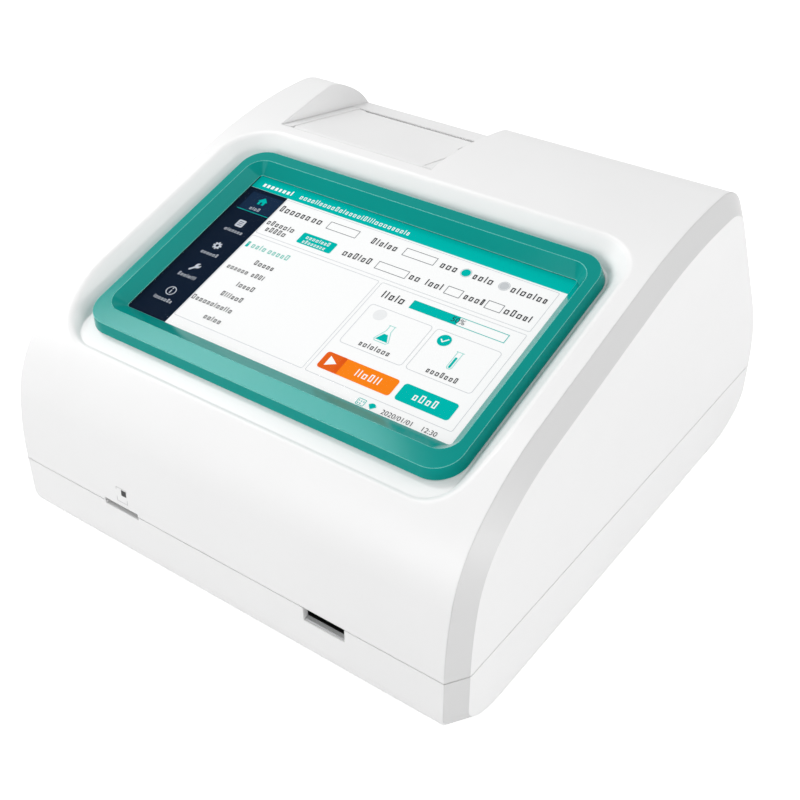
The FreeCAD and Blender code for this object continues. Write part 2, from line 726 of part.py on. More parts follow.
def upper_housing():
    """Upper moulding: hollow, with the screen recess and window, the printer bay and the rear opening."""
    room = without("upper_room", inside, screen_recess("recess_skin", s.wall, s.screen_sink * 2),
                   bay_tool("bay_skin", s.wall))
    dished = without("upper_dished", outside, screen_recess("recess_space", 0, s.screen_sink * 2))
    dished = soften("upper_soft", dished, s.rim_soft, on_recess_rim)
    shell = without("upper_shell", dished, room, bay_tool("bay_space", 0))
    half = overlap("upper_half", shell, seam_block("above_parting", seam + s.parting_gap / 2,
                                                   s.case_height * 2))

    window = Piece("screen_window", screen)
    window.block(-glass_half - 0.3, glass_half + 0.3, panel_low - 0.3, panel_high + 0.3,
                 -s.wall - 1, 1)

    opening = Piece("module_opening", bay)
    opening.block(-s.bay_half, s.bay_half, 0.3, s.module_length, -s.wall - 3, s.wall)

    rebate = overlap("upper_rebate", rebate_outside,
                     seam_block("rebate_band", seam, seam + s.lip_height + 0.3))

    rear = Piece("rear_window")
    rear.block(port_left, port_right, back - s.port_sink - 4, back + 2, seam - 1, seam + s.port_high)

    posts = []
    for number, (side, y) in enumerate(POSTS):
        post = Piece("upper_post_%d" % number)
        post.pad("Z", many_sided(post_x * side, y, 4.6, 10), seam + 1, seam + 24)
        # web that ties the post to the side wall
        reach = s.case_width / 2 - s.wall / 2
        if side < 0:
            post.block(-reach, post_x * side, y - 1, y + 1, seam + 4, seam + 24)
        else:
            post.block(post_x * side, reach, y - 1, y + 1, seam + 4, seam + 24)
        post.pocket("Z", many_sided(post_x * side, y, s.case_screw - 0.25, 8), seam + 1, seam + 20)
        posts.append(post)

    bosses = []
    for number, (x, v) in enumerate(BRACKET_HOLES):
        boss = Piece("screen_boss_%d" % number, screen)
        boss.pad("Z", many_sided(x, v, 3.2, 8), bracket_top, -s.wall + 0.5)
        boss.pocket("Z", many_sided(x, v, 1.0, 8), bracket_top, -s.wall - 0.8)
        bosses.append(boss)

    body = without("upper_cut", half, window, opening, rebate, rear, front_slots("upper_slots", 8))
    return finished(join("upper_housing", body, *(posts + bosses)))


bracket_top = -(s.glass_thick + s.panel_thick + 0.2)
BRACKET_HOLES = tuple((x, v) for x in (-(glass_half + 5), glass_half + 5)
                      for v in (panel_low + 14, panel_high - 14))


def lower_housing():
    """Lower moulding: floor, tongue at the parting line, screw pillars, board bosses, feet recesses."""
    shell = without("lower_shell", outside, inside)
    half = overlap("lower_half", shell, seam_block("below_parting", 0, seam - s.parting_gap / 2))
    ring = without("tongue_ring", tongue_outside, inside)
    tongue = overlap("lower_tongue", ring, seam_block("tongue_band", seam - 3, seam + s.lip_height))

    posts = []
    for number, (side, y) in enumerate(POSTS):
        post = Piece("lower_post_%d" % number)
        post.pad("Z", many_sided(post_x * side, y, 5.2, 10), floor - 0.5, seam + 0.7)
        posts.append(post)
    for number, (x, y) in enumerate(BOARD_HOLES):
        boss = Piece("board_boss_%d" % number)
        boss.pad("Z", many_sided(x, y, 3.4, 8), floor - 0.5, s.board_level)
        boss.pocket("Z", many_sided(x, y, 1.0, 8), s.board_level - 12, s.board_level)
        posts.append(boss)
    card_shelf = Piece("id_shelf")
    card_shelf.block(id_x - 13, id_x + 13, front + s.base_front, front + s.wall + 25,
                     floor - 0.5, s.id_level - s.id_high / 2 - 1.6)
    card_shelf.hollow(id_x - 11, id_x + 11, front + s.base_front + 2, front + s.wall + 23,
                      floor - 1, s.id_level - s.id_high / 2 - 3.2)
    posts.append(card_shelf)
    rails = Piece("scan_seats")
    for y in (scan_front + 6, scan_back - 6):
        rails.block(card_x - 20, card_x + 20, y - 5, y + 5, floor - 0.5, scan_floor)
    posts.append(rails)

    body = join("lower_body", half, tongue, *posts)
    holes = Piece("lower_holes")
    for side, y in POSTS:
        holes.pad("Z", many_sided(post_x * side, y, s.case_screw + 0.2, 8), 0, seam + 2)
        holes.pad("Z", many_sided(post_x * side, y, 3.4, 16), 0, floor + 8)
    vents = Piece("floor_vents")
    first = vents.pad("Z", rectangle(-62, -59.5, 28, 62), 0, floor + 1)
    vents.repeat_along(first, "X", 66, 12)
    rear = Piece("lower_rear_notch")
    rear.block(port_left, port_right, back - s.port_sink - 4, back + 2,
               s.board_level + s.board_thick + 0.4, seam + 3)
    return finished(without("lower_housing", body, holes, vents, rear, front_slots("lower_slots", 8)))


scan_front = front + s.scan_start
scan_back = scan_front + s.scan_length
scan_floor = floor + 1.2
port_left = s.port_inset - s.case_width / 2
port_right = s.case_width / 2 - s.port_side
board_left = s.board_inset - s.case_width / 2
board_right = s.case_width / 2 - s.board_side
board_back = back - s.port_sink - s.port_plate - 0.6
board_front = front + s.board_lead
BOARD_HOLES = tuple((x, y) for x in (board_left + s.hole_inset, board_right - s.hole_inset)
                    for y in (board_front + s.hole_inset, board_back - s.hole_back))


# ---- screen ----

frame_half = picture_half + s.frame_side
frame_low = -s.frame_chin
frame_high = s.picture_height + s.frame_brow


def screen_bezel():
    """Frame round the screen: leaning outer walls, flat top band, slopes down to the picture."""
    frame = Piece("screen_bezel", screen)
    outer = frame.pad("Z", rounded(-frame_half, frame_half, frame_low, frame_high, s.frame_round + 1),
                      s.frame_slit, s.frame_rise)
    outer.TaperAngle = -s.frame_draft.number
    bind(outer, "TaperAngle", -s.frame_draft)
    funnel = frame.body.newObject("PartDesign::SubtractiveLoft", "picture_funnel")
    low = frame.sketch("Z", rounded(-picture_half - 0.2, picture_half + 0.2,
                                    -0.2, s.picture_height + 0.2, 1.2), 0)
    high = frame.sketch("Z", rounded(-picture_half - s.funnel_side, picture_half + s.funnel_side,
                                     -s.funnel_chin, s.picture_height + s.funnel_side,
                                     s.frame_round - 3), s.frame_rise + 0.01)
    funnel.Profile = low
    funnel.Sections = [high]
    funnel.Ruled = True
    return finished(frame)


def touch_glass():
    glass = Piece("touch_glass", screen)
    glass.pad("Z", rounded(-glass_half, glass_half, panel_low, panel_high, 2), -s.glass_thick, 0)
    return finished(glass)


def lcd_panel():
    """Display module under the glass, with the driver ledge on its back."""
    panel = Piece("lcd_panel", screen)
    top = -s.glass_thick
    panel.block(-glass_half + 0.5, glass_half - 0.5, panel_low + 0.5, panel_high - 0.5,
                top - s.panel_thick, top)
    panel.block(-38, 38, panel_low + 4, panel_low + 20, top - s.panel_thick - 1.4, top - s.panel_thick)
    return finished(panel)


def lcd_bracket():
    """Pressed tray that holds the display up against the housing, screwed to four bosses."""
    bracket = Piece("lcd_bracket", screen)
    top = bracket_top
    bracket.block(-glass_half - 9, glass_half + 9, panel_low + 8, panel_high - 8, top - 1.2, top)
    bracket.block(-60, 60, panel_low - 1, panel_high + 1, top - 1.2, top)
    bracket.hollow(-46, 46, panel_low + 1.5, panel_low + 26, top - 2, top + 1)
    bracket.hollow(-56, 56, panel_high - 34, panel_high - 14, top - 2, top + 1)
    for x, v in BRACKET_HOLES:
        bracket.pocket("Z", many_sided(x, v, 1.6, 8), top - 2, top + 1)
    for x in (-64, 64):
        bracket.block(x - 2, x + 2, panel_low + 30, panel_high - 30, top, top + 0.2)
    return finished(bracket)


def bracket_screws():
    """Four screws through the display bracket, as one group."""
    screws = Piece("bracket_screws", screen)
    shanks = [many_sided(x, v, 1.0, 8) for x, v in BRACKET_HOLES]
    heads = [many_sided(x, v, 2.7, 6) for x, v in BRACKET_HOLES]
    screws.pad("Z", shanks, bracket_top - 1.2, bracket_top + 3.6)
    screws.pad("Z", heads, bracket_top - 3.0, bracket_top - 1.2)
    return finished(screws)


# ---- printer, in the bay frame ----

hinge_z = -s.hinge_drop
platen_z = -s.platen_drop
skin_low = -s.wall
roll_z = -s.roll_drop
well_low = -s.well_depth
well_front = s.hinge_place - s.hinge_drop
well_back = s.module_length + 6.4
idler_z = platen_z - s.tooth_size * (s.platen_teeth + s.idler_teeth) / 2
pinion_z = idler_z - s.tooth_size * (s.idler_teeth + s.pinion_teeth) / 2
gear_left = -(s.platen_half + 2.8 + s.gear_wide)
head_face = s.platen_place + s.platen_radius + s.head_gap
wall_in = rail_out - s.well_wall


def printer_frame():
    """Well for the paper roll: rails beside the lid, hinge bores, roll guides, curved cradle."""
    frame = Piece("printer_frame", bay)
    frame.block(-rail_out, rail_out, 0.7, well_back, well_low, skin_low - 0.4)
    frame.block(-rail_out, rail_out, 0.7, s.module_length - 0.3, skin_low - 1, 0)
    # room for the lid between the rails
    frame.hollow(-rail_in, rail_in, 0, s.module_length + 1, -7.2, 1)
    # room for the mechanism and the roll
    frame.hollow(-wall_in, wall_in, well_front + 5.6, well_back - s.well_wall, -24, -7)
    frame.hollow(-wall_in, wall_in, well_front + 3.8, head_face + s.head_thick + 3.5, roll_z, -20)
    frame.hollow(-wall_in, wall_in, s.module_length, well_back - s.well_wall, -10, skin_low)
    frame.pocket("X", circle(s.roll_place, roll_z, s.roll_radius + 0.8), -wall_in, wall_in)
    # cheeks that centre the roll
    for side in (-1, 1):
        near, far = (s.roll_half + 0.5), (s.roll_half + 2.0)
        x0, x1 = (near, far) if side > 0 else (-far, -near)
        frame.block(x0, x1, s.roll_place - 16, s.roll_place + 13, well_low + 6, roll_z + 4)
    frame.pocket("X", circle(s.hinge_place, hinge_z, s.hinge_pin + 0.02), -rail_out - 1, rail_out + 1)
    # stub for the idler on the left wall
    frame.pad("X", circle(s.platen_place, idler_z, s.axle), -wall_in - 0.5, gear_left + s.gear_wide + 0.4)
    frame.pocket("X", circle(s.platen_place, pinion_z, 3.2), -rail_out - 1, -wall_in + 1)
    # bearing of the release lever in the right rail
    frame.hollow(rail_in - 1.5, rail_in + 0.2, s.slot_place - 14.8, s.slot_place + 0.6, -7.4, 1)
    return finished(frame)


lever_in = s.slot_half + 0.3
lever_out = rail_in + 0.9


def printer_lid():
    """Hinged lid: barrel at the front, plate, cheeks that carry the platen, notch for the slot and lever."""
    lid = Piece("printer_lid", bay)
    under = -s.lid_thick
    lid.pad("X", circle(s.hinge_place, hinge_z, s.hinge_drop), -lid_half, lid_half)
    lid.block(-lid_half, lid_half, s.hinge_place, s.slot_place + 1.2, under, 0)
    # thinner over the platen
    lid.hollow(-s.platen_half - 3.5, s.platen_half + 3.5, s.platen_place - s.platen_radius - 1,
               s.slot_place + 2, under - 1, -s.lid_thick + 0.8)
    # mouth of the paper slot
    lid.hollow(-s.slot_half, s.slot_half, s.slot_place, s.slot_place + 2, under - 1, 1)
    # corner cut for the release lever
    lid.hollow(lever_in - 0.3, lid_half + 1, s.slot_place - s.lever_length - 0.4, s.slot_place + 2,
               under - 1, 1)
    for side in (-1, 1):
        near, far = s.platen_half + 0.3, s.platen_half + 1.6
        x0, x1 = (near, far) if side > 0 else (-far, -near)
        lid.pad("X", polygon((s.platen_place - 9, under + 0.2), (s.slot_place - 0.6, under + 0.2 + 0.6),
                             (s.slot_place - 0.6, platen_z - 2.2), (s.platen_place - 2.2, platen_z - 2.8)),
                x0, x1)
    for x in (-20, -7, 7, 20):
        lid.block(x - 0.6, x + 0.6, s.hinge_place + 2, s.platen_place - s.platen_radius - 1.6,
                  under - 1.6, under + 0.2)
    lid.pocket("X", circle(s.hinge_place, hinge_z, s.hinge_pin + s.running), -lid_half - 1, lid_half + 1)
    lid.pocket("X", circle(s.platen_place, platen_z, s.axle + s.running), -lid_half - 1, lid_half + 1)
    return finished(lid)


def lid_hinge_pin():
    pin = Piece("lid_hinge_pin", bay)
    pin.pad("X", circle(s.hinge_place, hinge_z, s.hinge_pin), -rail_out + 0.3, rail_out - 0.3)
    return finished(pin)


def lid_release_lever():
    """Small lever in the corner of the lid that frees it from the module."""
    lever = Piece("lid_release_lever", bay)
    start = s.slot_place - s.lever_length
    lever.block(lever_in, rail_in - 0.1, start, s.slot_place + 0.3, -2.0, 0)
    lever.pad("X", circle(start + 1.8, -2.2, 1.8), lever_in, rail_in - 0.1)
    lever.block(rail_in - 2.4, rail_in - 0.6, s.slot_place - 3, s.slot_place - 1, -6.2, -1.8)
    return finished(lever)


def platen():
    """Platen shaft and the rubber sleeve on it."""
    shaft = Piece("platen_shaft", bay)
    shaft.pad("X", circle(s.platen_place, platen_z, s.axle), gear_left - 0.2, s.platen_half + 2.6)
    rubber = Piece("platen_rubber", bay)
    rubber.pad("X", [circle(s.platen_place, platen_z, s.platen_radius),
                     circle(s.platen_place, platen_z, s.axle)], -s.platen_half, s.platen_half)
    finished(shaft)
    return finished(rubber)


def gear(label, teeth, level, bore):
    """Straight gear on the left of the module, a tooth or a gap pointing up."""
    pitch = s.tooth_size * teeth / 2
    root, tip = pitch - s.tooth_size * 1.15, pitch + s.tooth_size * 0.85
    wheel = Piece(label, Frame(bay.x, bay.y + s.platen_place * cosine(s.bay_tilt) + level * sine(s.bay_tilt),
                               bay.z - s.platen_place * sine(s.bay_tilt) + level * cosine(s.bay_tilt),
                               -s.bay_tilt))
    left, right = gear_left, gear_left + s.gear_wide
    wheel.pad("X", circle(0, 0, root), left, right)
    half_root, half_tip = s.tooth_size * 0.92, s.tooth_size * 0.30
    tooth = wheel.pad("X", polygon((-half_root, root - 0.3), (half_root, root - 0.3),
                                   (half_tip, tip), (-half_tip, tip)), left, right)
    wheel.repeat_round(tooth, "X", teeth)
    wheel.pocket("X", circle(0, 0, bore), left - 1, right + 1)
    return wheel


def printer_gears():
    finished(gear("platen_gear", s.platen_teeth, platen_z, s.axle))
    idler = gear("idler_gear", s.idler_teeth, idler_z, s.axle + s.running)
    half_pitch = 180 / s.idler_teeth
    turn = -s.bay_tilt + half_pitch
    idler.body.Placement = Placement(idler.body.Placement.Base, Rotation(Vector(1, 0, 0), turn.number))
    bind(idler.body, "Placement.Rotation.Angle", turn)
    finished(idler)
    finished(gear("motor_pinion", s.pinion_teeth, pinion_z, 0.75))


def printer_motor():
    """Feed motor outside the left wall of the module; its shaft carries the pinion."""
    motor = Piece("printer_motor", bay)
    face = -rail_out
    motor.pad("X", circle(s.platen_place, pinion_z, 7.5), face - 12.5, face)
    motor.pad("X", circle(s.platen_place, pinion_z, 2.4), face - 1, face + s.well_wall)
    motor.pad("X", circle(s.platen_place, pinion_z, 0.75), face, gear_left + s.gear_wide)
    motor.block(face - 1, face, s.platen_place - 12, s.platen_place + 12, pinion_z - 3, pinion_z + 3)
    return finished(motor)


def print_head():
    """Ceramic head bar, its heat sink behind, and the tear bar on top."""
    head = Piece("print_head", bay)
    head.block(-s.platen_half - 2, s.platen_half + 2, head_face, head_face + s.head_thick,
               -14, skin_low - 0.9)
    sink = Piece("head_heatsink", bay)
    start = head_face + s.head_thick
    sink.block(-s.platen_half - 5, s.platen_half + 5, start, well_back - s.well_wall, -9.5, skin_low - 0.9)
    for k in range(9):
        x = -28 + 7 * k
        sink.block(x - 0.8, x + 0.8, start, start + 2.2, -14, -9)
    bar = Piece("tear_bar", bay)
    left, right = -s.slot_half - 1.5, s.slot_half + 1.5
    bar.block(left, right, s.slot_place + s.slot_wide + 0.1, s.module_length - 0.25, skin_low - 0.9, -0.7)
    tooth = polygon((-s.slot_half, -0.8), (-s.slot_half + 1.6, -0.8), (-s.slot_half + 0.8, -0.1))
    first = bar.pad("Y", tooth, s.slot_place + s.slot_wide + 0.1, s.module_length - 0.35)
    bar.repeat_along(first, "X", s.slot_half * 2 - 1.8, 36)
    finished(head)
    finished(sink)
    return finished(bar)


def paper_roll():
    """Paper wound on a cardboard core."""
    roll = Piece("paper_roll", bay)
    radii = (s.roll_radius, s.core_radius + 0.6, s.core_radius - 0.6)
    rings = [circle(s.roll_place, roll_z, radius) for radius in radii]
    roll.pad("X", rings[:2], -s.roll_half, s.roll_half)
    core = Piece("roll_core", bay)
    core.pad("X", rings[1:], -s.roll_half, s.roll_half)
    finished(roll)
    return finished(core)


# ---- test card scanner ----

tray_half = s.card_wide / 2 + 0.35
tray_out = tray_half + s.tray_wall
tray_floor = slot_low - 0.4
tray_front = front + s.tray_start
block_top = tray_floor - s.tray_wall
block_low = scan_floor + s.frame_plate + 0.3
block_front = scan_front + 9
block_back = block_front + s.block_length
rod_half = s.rod_spacing / 2
end_wall = 4.0


def scan_frame():
    """Base plate with two end walls that hold the rods and the lead screw."""
    frame = Piece("scan_frame")
    frame.block(card_x - 22, card_x + 22, scan_front, scan_back, scan_floor, scan_floor + s.frame_plate)
    for y in (scan_front, scan_back - end_wall):
        frame.block(card_x - 22, card_x + 22, y, y + end_wall, scan_floor, s.rod_level + 3.4)
    for x in (-rod_half, rod_half):
        frame.pocket("Y", circle(card_x + x, s.rod_level, s.rod_radius), scan_front - 1, scan_back + 1)
    frame.pocket("Y", circle(card_x, s.rod_level, s.screw_radius + s.running), scan_front - 1, scan_back + 1)
    return finished(frame)


def guide_rods():
    rods = Piece("guide_rods")
    rods.pad("Y", [circle(card_x + x, s.rod_level, s.rod_radius) for x in (-rod_half, rod_half)],
             scan_front + 0.2, scan_back - 0.2)
    return finished(rods)


def lead_screw():
    screw = Piece("lead_screw")
    screw.pad("Y", circle(card_x, s.rod_level, s.screw_radius), scan_front + 0.6, scan_back + 5.0)
    return finished(screw)


def scan_motor():
    """Stepper behind the end wall, with its shaft coupling on the screw."""
    motor = Piece("scan_motor")
    start = scan_back + 12
    motor.pad("Y", rounded(card_x - 10, card_x + 10, s.rod_level - 6.0, s.rod_level + 10, 2),
              start, start + 16)
    motor.block(card_x - 14, card_x + 14, scan_back, start, scan_floor, scan_floor + 1.4)
    motor.block(card_x - 14, card_x + 14, start - 1.4, start, scan_floor, s.rod_level + 9)
    motor.pocket("Y", circle(card_x, s.rod_level, 3.8), start - 2, start)
    coupler = Piece("motor_coupler")
    coupler.pad("Y", circle(card_x, s.rod_level, 3.4), scan_back + 1.0, start - 0.3)
    coupler.pocket("Y", circle(card_x, s.rod_level, s.screw_radius), scan_back, scan_back + 5.0)
    finished(motor)
    return finished(coupler)


def card_tray():
    """Open-topped tray for the test card on a block that runs on the rods."""
    tray = Piece("card_tray")
    tray.block(card_x - tray_out, card_x + tray_out, tray_front, tray_front + s.tray_length,
               block_top, s.card_top - 0.3)
    tray.hollow(card_x - tray_half, card_x + tray_half,
                tray_front - 1, tray_front + s.tray_length - s.tray_wall, tray_floor, s.card_top + 1)
    tray.block(card_x - 21, card_x + 21, block_front, block_back, block_low, block_top)
    tray.hollow(card_x - 12, card_x + 12, block_front + 10, block_back - 10, block_low - 1, block_top)
    for x in (-rod_half, rod_half):
        tray.pocket("Y", circle(card_x + x, s.rod_level, s.rod_radius + s.running),
                    block_front - 1, block_back + 1)
    tray.pocket("Y", circle(card_x, s.rod_level, s.nut_radius), block_front - 1, block_back + 1)
    return finished(tray)


def screw_nut():
    """Brass nut pressed in the front end of the tray block."""
    nut = Piece("screw_nut")
    radii = (s.nut_radius, s.screw_radius + s.running)
    nut.pad("Y", [circle(card_x, s.rod_level, radius) for radius in radii], block_front, block_front + 10)
    return finished(nut)


optic_y = front + s.head_place
optic_low = s.card_top + s.optic_gap


def optics():
    """Bridge over the tray, optical head, objective and light source."""
    plate_low = optic_low + 8
    seat = plate_low + s.bridge_plate
    reach = s.bridge_deep / 2
    bridge = Piece("optics_bridge")
    for x in (card_x - s.bridge_half, card_x + s.bridge_half - s.bridge_plate):
        bridge.block(x, x + s.bridge_plate, optic_y - reach, optic_y + reach, floor, plate_low)
    bridge.block(card_x - s.bridge_half, card_x + s.bridge_half, optic_y - reach, optic_y + reach,
                 plate_low, seat)
    bridge.pocket("Z", circle(card_x, optic_y, s.barrel_radius + 0.2), plate_low - 1, plate_low + 4)
    head = Piece("optical_head")
    top, lamp_z = seat + s.head_high, seat + s.lamp_level
    face = optic_y + s.head_deep / 2
    head.block(card_x - s.head_wide / 2, card_x + s.head_wide / 2, optic_y - s.head_deep / 2, face, seat, top)
    head.pad("Z", circle(card_x, optic_y, s.barrel_radius), optic_low, seat + 1)
    head.pocket("Z", circle(card_x, optic_y, s.lens_radius), optic_low - 1, top - 6)
    head.pad("Y", circle(card_x, lamp_z, s.lamp_radius + 1.9), face - 1, face + 10)
    head.pocket("Y", circle(card_x, lamp_z, s.lamp_radius), face - 10, face + 11)
    lens = Piece("objective_lens")
    lens.pad("Z", circle(card_x, optic_y, s.lens_radius), optic_low + 0.6, optic_low + 2.8)
    lamp = Piece("light_source")
    lamp.pad("Y", circle(card_x, lamp_z, s.lamp_radius), face + 6, face + 10)
    lamp.pad("Y", circle(card_x, lamp_z, s.lamp_radius + 2.9), face + 10, face + 11.6)
    detector = Piece("detector_board")
    board = (s.head_wide / 2 - 2, s.head_deep / 2 - 2)
    detector.block(card_x - board[0], card_x + board[0], optic_y - board[1], optic_y + board[1],
                   top, top + s.board_thick)
    detector.block(card_x - 4, card_x + 4, optic_y - 3, optic_y + 3, top + s.board_thick, top + 4)
    for piece in (bridge, head, lens, lamp):
        finished(piece)
    return finished(detector)


def card_mouth():
    """Grey lining of the card slot with a sloping lower lip."""
    mouth = Piece("card_mouth")
    low, high = slot_low, s.card_top + s.parting_gap / 2
    mouth.block(slot_left - 2.2, slot_right + 2.2, front + s.wall + 0.1, front + s.tray_start - 0.9,
                low - 2.2, high - 0.5)
    mouth.pad("Y", polygon((slot_left + 0.1, low + 0.1), (slot_right - 0.1, low + 0.1),
                           (slot_right - 0.1, low + 0.5), (slot_left + 0.1, low + 0.5)),
              front + 0.8, front + s.wall + 0.2)
    mouth.pocket("X", polygon((front, low + 1.4), (front, high + 1), (front + s.tray_start, high + 1),
                              (front + s.tray_start, low + 0.3), (front + s.wall + 3, low + 0.3)),
                 slot_left + 0.4, slot_right - 0.4)
    return finished(mouth)


def home_sensor():
    """Fork sensor that sees the tray at the front."""
    sensor = Piece("home_sensor")
    x = card_x - 22
    sensor.block(x - 6.6, x - 0.4, scan_front + 14, scan_front + 26, scan_floor - 1.2, scan_floor + 1.6)
    sensor.block(x - 5.4, x - 3.6, scan_front + 15, scan_front + 25, scan_floor + 1.4, scan_floor + 8)
    sensor.block(x - 2.4, x - 0.6, scan_front + 15, scan_front + 25, scan_floor + 1.4, scan_floor + 8)
    return finished(sensor)


# ---- electronics ----

board_top = s.board_level + s.board_thick
plate_out = back - s.port_sink
plate_in = plate_out - s.port_plate


# larger components: place as shares of the board's width and depth, then width, depth and height
COMPONENTS = ((0.230, 0.172, 22, 22, 1.6), (0.492, 0.215, 12, 18, 1.4), (0.738, 0.129, 14, 14, 1.4),
              (0.115, 0.459, 8, 8, 9), (0.639, 0.459, 12, 12, 5), (0.836, 0.459, 10, 10, 6),
              (0.410, 0.057, 30, 6, 5), (0.311, 0.488, 18, 10, 2))


def main_board():
    """Main board on its bosses, with the larger components."""
    board = Piece("main_board")
    board.block(board_left, board_right, board_front, board_back, s.board_level, board_top)
    # corner cut for the pillar
    board.hollow(board_left - 1, 6 - post_x, post_back - 6, post_back + 6, s.board_level - 1, board_top + 1)
    for x, y in BOARD_HOLES:
        board.pocket("Z", many_sided(x, y, 1.6, 8), s.board_level - 1, board_top + 1)
    for share_x, share_y, wide, deep, high in COMPONENTS:
        x = board_left + (board_right - board_left) * share_x
        y = board_front + (board_back - board_front) * share_y
        board.block(x - wide / 2, x + wide / 2, y - deep / 2, y + deep / 2, board_top, board_top + high)
    return finished(board)


def board_screws():
    """Four screws of the main board, as one group."""
    screws = Piece("board_screws")
    screws.pad("Z", [many_sided(x, y, 1.0, 8) for x, y in BOARD_HOLES], s.board_level - 6, board_top)
    screws.pad("Z", [many_sided(x, y, 2.7, 6) for x, y in BOARD_HOLES], board_top, board_top + 1.8)
    return finished(screws)


def id_card_socket():
    """Small board with a card socket behind the narrow slot."""
    socket = Piece("id_card_socket")
    low = s.id_level - s.id_high / 2 - 1.6
    y0 = front + s.wall + 2.5
    socket.block(id_x - 12.6, id_x + 12.6, y0, y0 + 22.5, low, low + 1.2)
    socket.block(id_x - 11.5, id_x + 11.5, y0, y0 + 18, low + 1.2, low + 5.6)
    socket.hollow(id_x - s.id_wide / 2, id_x + s.id_wide / 2, y0 - 1, y0 + 16,
                  s.id_level - s.id_high / 2, s.id_level + s.id_high / 2)
    return finished(socket)


port_span = port_right - port_left
PORTS = {"switch": port_left + port_span * 7 / 54, "inlet": port_left + port_span * 10 / 27,
         "usb": port_left + port_span * 5 / 9, "lan": port_left + port_span * 7 / 9}
switch_z = seam + 11.0


def rear_port_plate():
    """Flat plate in the rear opening, with the cut-outs of the connectors."""
    plate = Piece("rear_port_plate")
    low, high = board_top + 0.6, seam + s.port_high + 3
    plate.block(port_left - 3, port_right + 3, plate_in, plate_out, seam + s.lip_height + 0.5, high)
    plate.block(port_left + 0.4, port_right - 0.4, plate_in, plate_out, low, seam + s.lip_height + 1)
    holes = [rectangle(PORTS["switch"] - s.switch_wide / 2, PORTS["switch"] + s.switch_wide / 2,
                       switch_z - s.switch_high / 2, switch_z + s.switch_high / 2),
             circle(PORTS["inlet"], board_top + 6.5, 4.3),
             rectangle(PORTS["usb"] - 7.4, PORTS["usb"] + 7.4, low - 1, board_top + 16.6),
             rectangle(PORTS["lan"] - 8.3, PORTS["lan"] + 8.3, low - 1, board_top + 14.2)]
    plate.pocket("Y", holes, plate_in - 1, plate_out + 1)
    return finished(plate)


def power_switch():
    """Rocker switch: a snap-in body and its rocker."""
    x = PORTS["switch"]
    body = Piece("power_switch_body")
    half_w, half_h = s.switch_wide / 2, s.switch_high / 2
    body.block(x - half_w - 1.5, x + half_w + 1.5, plate_out, plate_out + 1.6, switch_z - half_h - 1.5,
               switch_z + half_h + 1.5)
    body.block(x - half_w + 0.1, x + half_w - 0.1, plate_out - 12, plate_out + 0.5, switch_z - half_h + 0.1,
               switch_z + half_h - 0.1)
    body.hollow(x - half_w + 1.2, x + half_w - 1.2, plate_out - 6, plate_out + 2, switch_z - half_h + 1.2,
                switch_z + half_h - 1.2)
    body.block(x - 6, x - 5, plate_out - 17, plate_out - 12, switch_z - 2.4, switch_z + 2.4)
    body.block(x + 5, x + 6, plate_out - 17, plate_out - 12, switch_z - 2.4, switch_z + 2.4)
    finished(body)
    rocker = Piece("power_rocker", Frame(x, plate_out - 1.6, switch_z, 0))
    corners = ((-7.6, 2.4), (-6.9, -1.4), (0, -3.0), (6.9, -1.4), (7.6, 2.4), (0, 1.0))
    turn, rise = cosine(s.rocker_tilt), sine(s.rocker_tilt)
    rocker.pad("Z", polygon(*((u * turn + v * rise, v * turn - u * rise) for u, v in corners)),
               -half_h + 1.6, half_h - 1.6)
    return finished(rocker)


def rear_ports():
    """Direct current inlet, stacked USB sockets and a network socket on the board's rear edge."""
    inlet = Piece("dc_inlet")
    x, reach = PORTS["inlet"], plate_in - 13
    inlet.block(x - 4.5, x + 4.5, reach, plate_in - 0.2, board_top, board_top + 11)
    inlet.pad("Y", circle(x, board_top + 6.5, 4.1), plate_in - 1, plate_out + 0.6)
    inlet.pocket("Y", circle(x, board_top + 6.5, 3.0), plate_out - 9, plate_out + 1)
    inlet.pad("Y", circle(x, board_top + 6.5, 0.9), plate_out - 9.5, plate_out - 0.5)
    usb = Piece("usb_sockets")
    x = PORTS["usb"]
    usb.block(x - 7.2, x + 7.2, plate_in - 16, plate_out + 0.4, board_top, board_top + 16.4)
    for low in (1.6, 9.3):
        usb.hollow(x - 6.5, x + 6.5, plate_out - 12, plate_out + 1, board_top + low, board_top + low + 5.4)
        usb.block(x - 5.5, x + 5.5, plate_out - 12.5, plate_out - 1.2,
                  board_top + low + 2.9, board_top + low + 4.6)
    lan = Piece("network_socket")
    x = PORTS["lan"]
    lan.block(x - 8.1, x + 8.1, plate_in - 18, plate_out + 0.4, board_top, board_top + 13.8)
    lan.hollow(x - 5.9, x + 5.9, plate_out - 12, plate_out + 1, board_top + 2.2, board_top + 8.8)
    lan.hollow(x - 3.0, x + 3.0, plate_out - 9, plate_out + 1, board_top + 8.7, board_top + 10.8)
    for piece in (inlet, usb):
        finished(piece)
    return finished(lan)


# ---- feet and case screws ----

FEET = tuple((side * (s.case_width / 2 - s.foot_inset), y) for side in (-1, 1)
             for y in (front + s.foot_lead, back - s.foot_lead))


def rubber_feet():
    """Four stuck-on feet, as one group."""
    feet = Piece("rubber_feet")
    feet.pad("Z", [many_sided(x, y, s.foot_radius, 20) for x, y in FEET], 0, s.foot_height)
    return finished(feet)


def case_screws():
    """Four long screws from below, as one group."""
    screws = Piece("case_screws")
    top = floor + 8
    screws.pad("Z", [many_sided(post_x * side, y, s.case_screw - 0.25, 8) for side, y in POSTS], top - 0.5,
               seam + 16)
    screws.pad("Z", [many_sided(post_x * side, y, 3.0, 6) for side, y in POSTS], top - 2.6, top)
    return finished(screws)


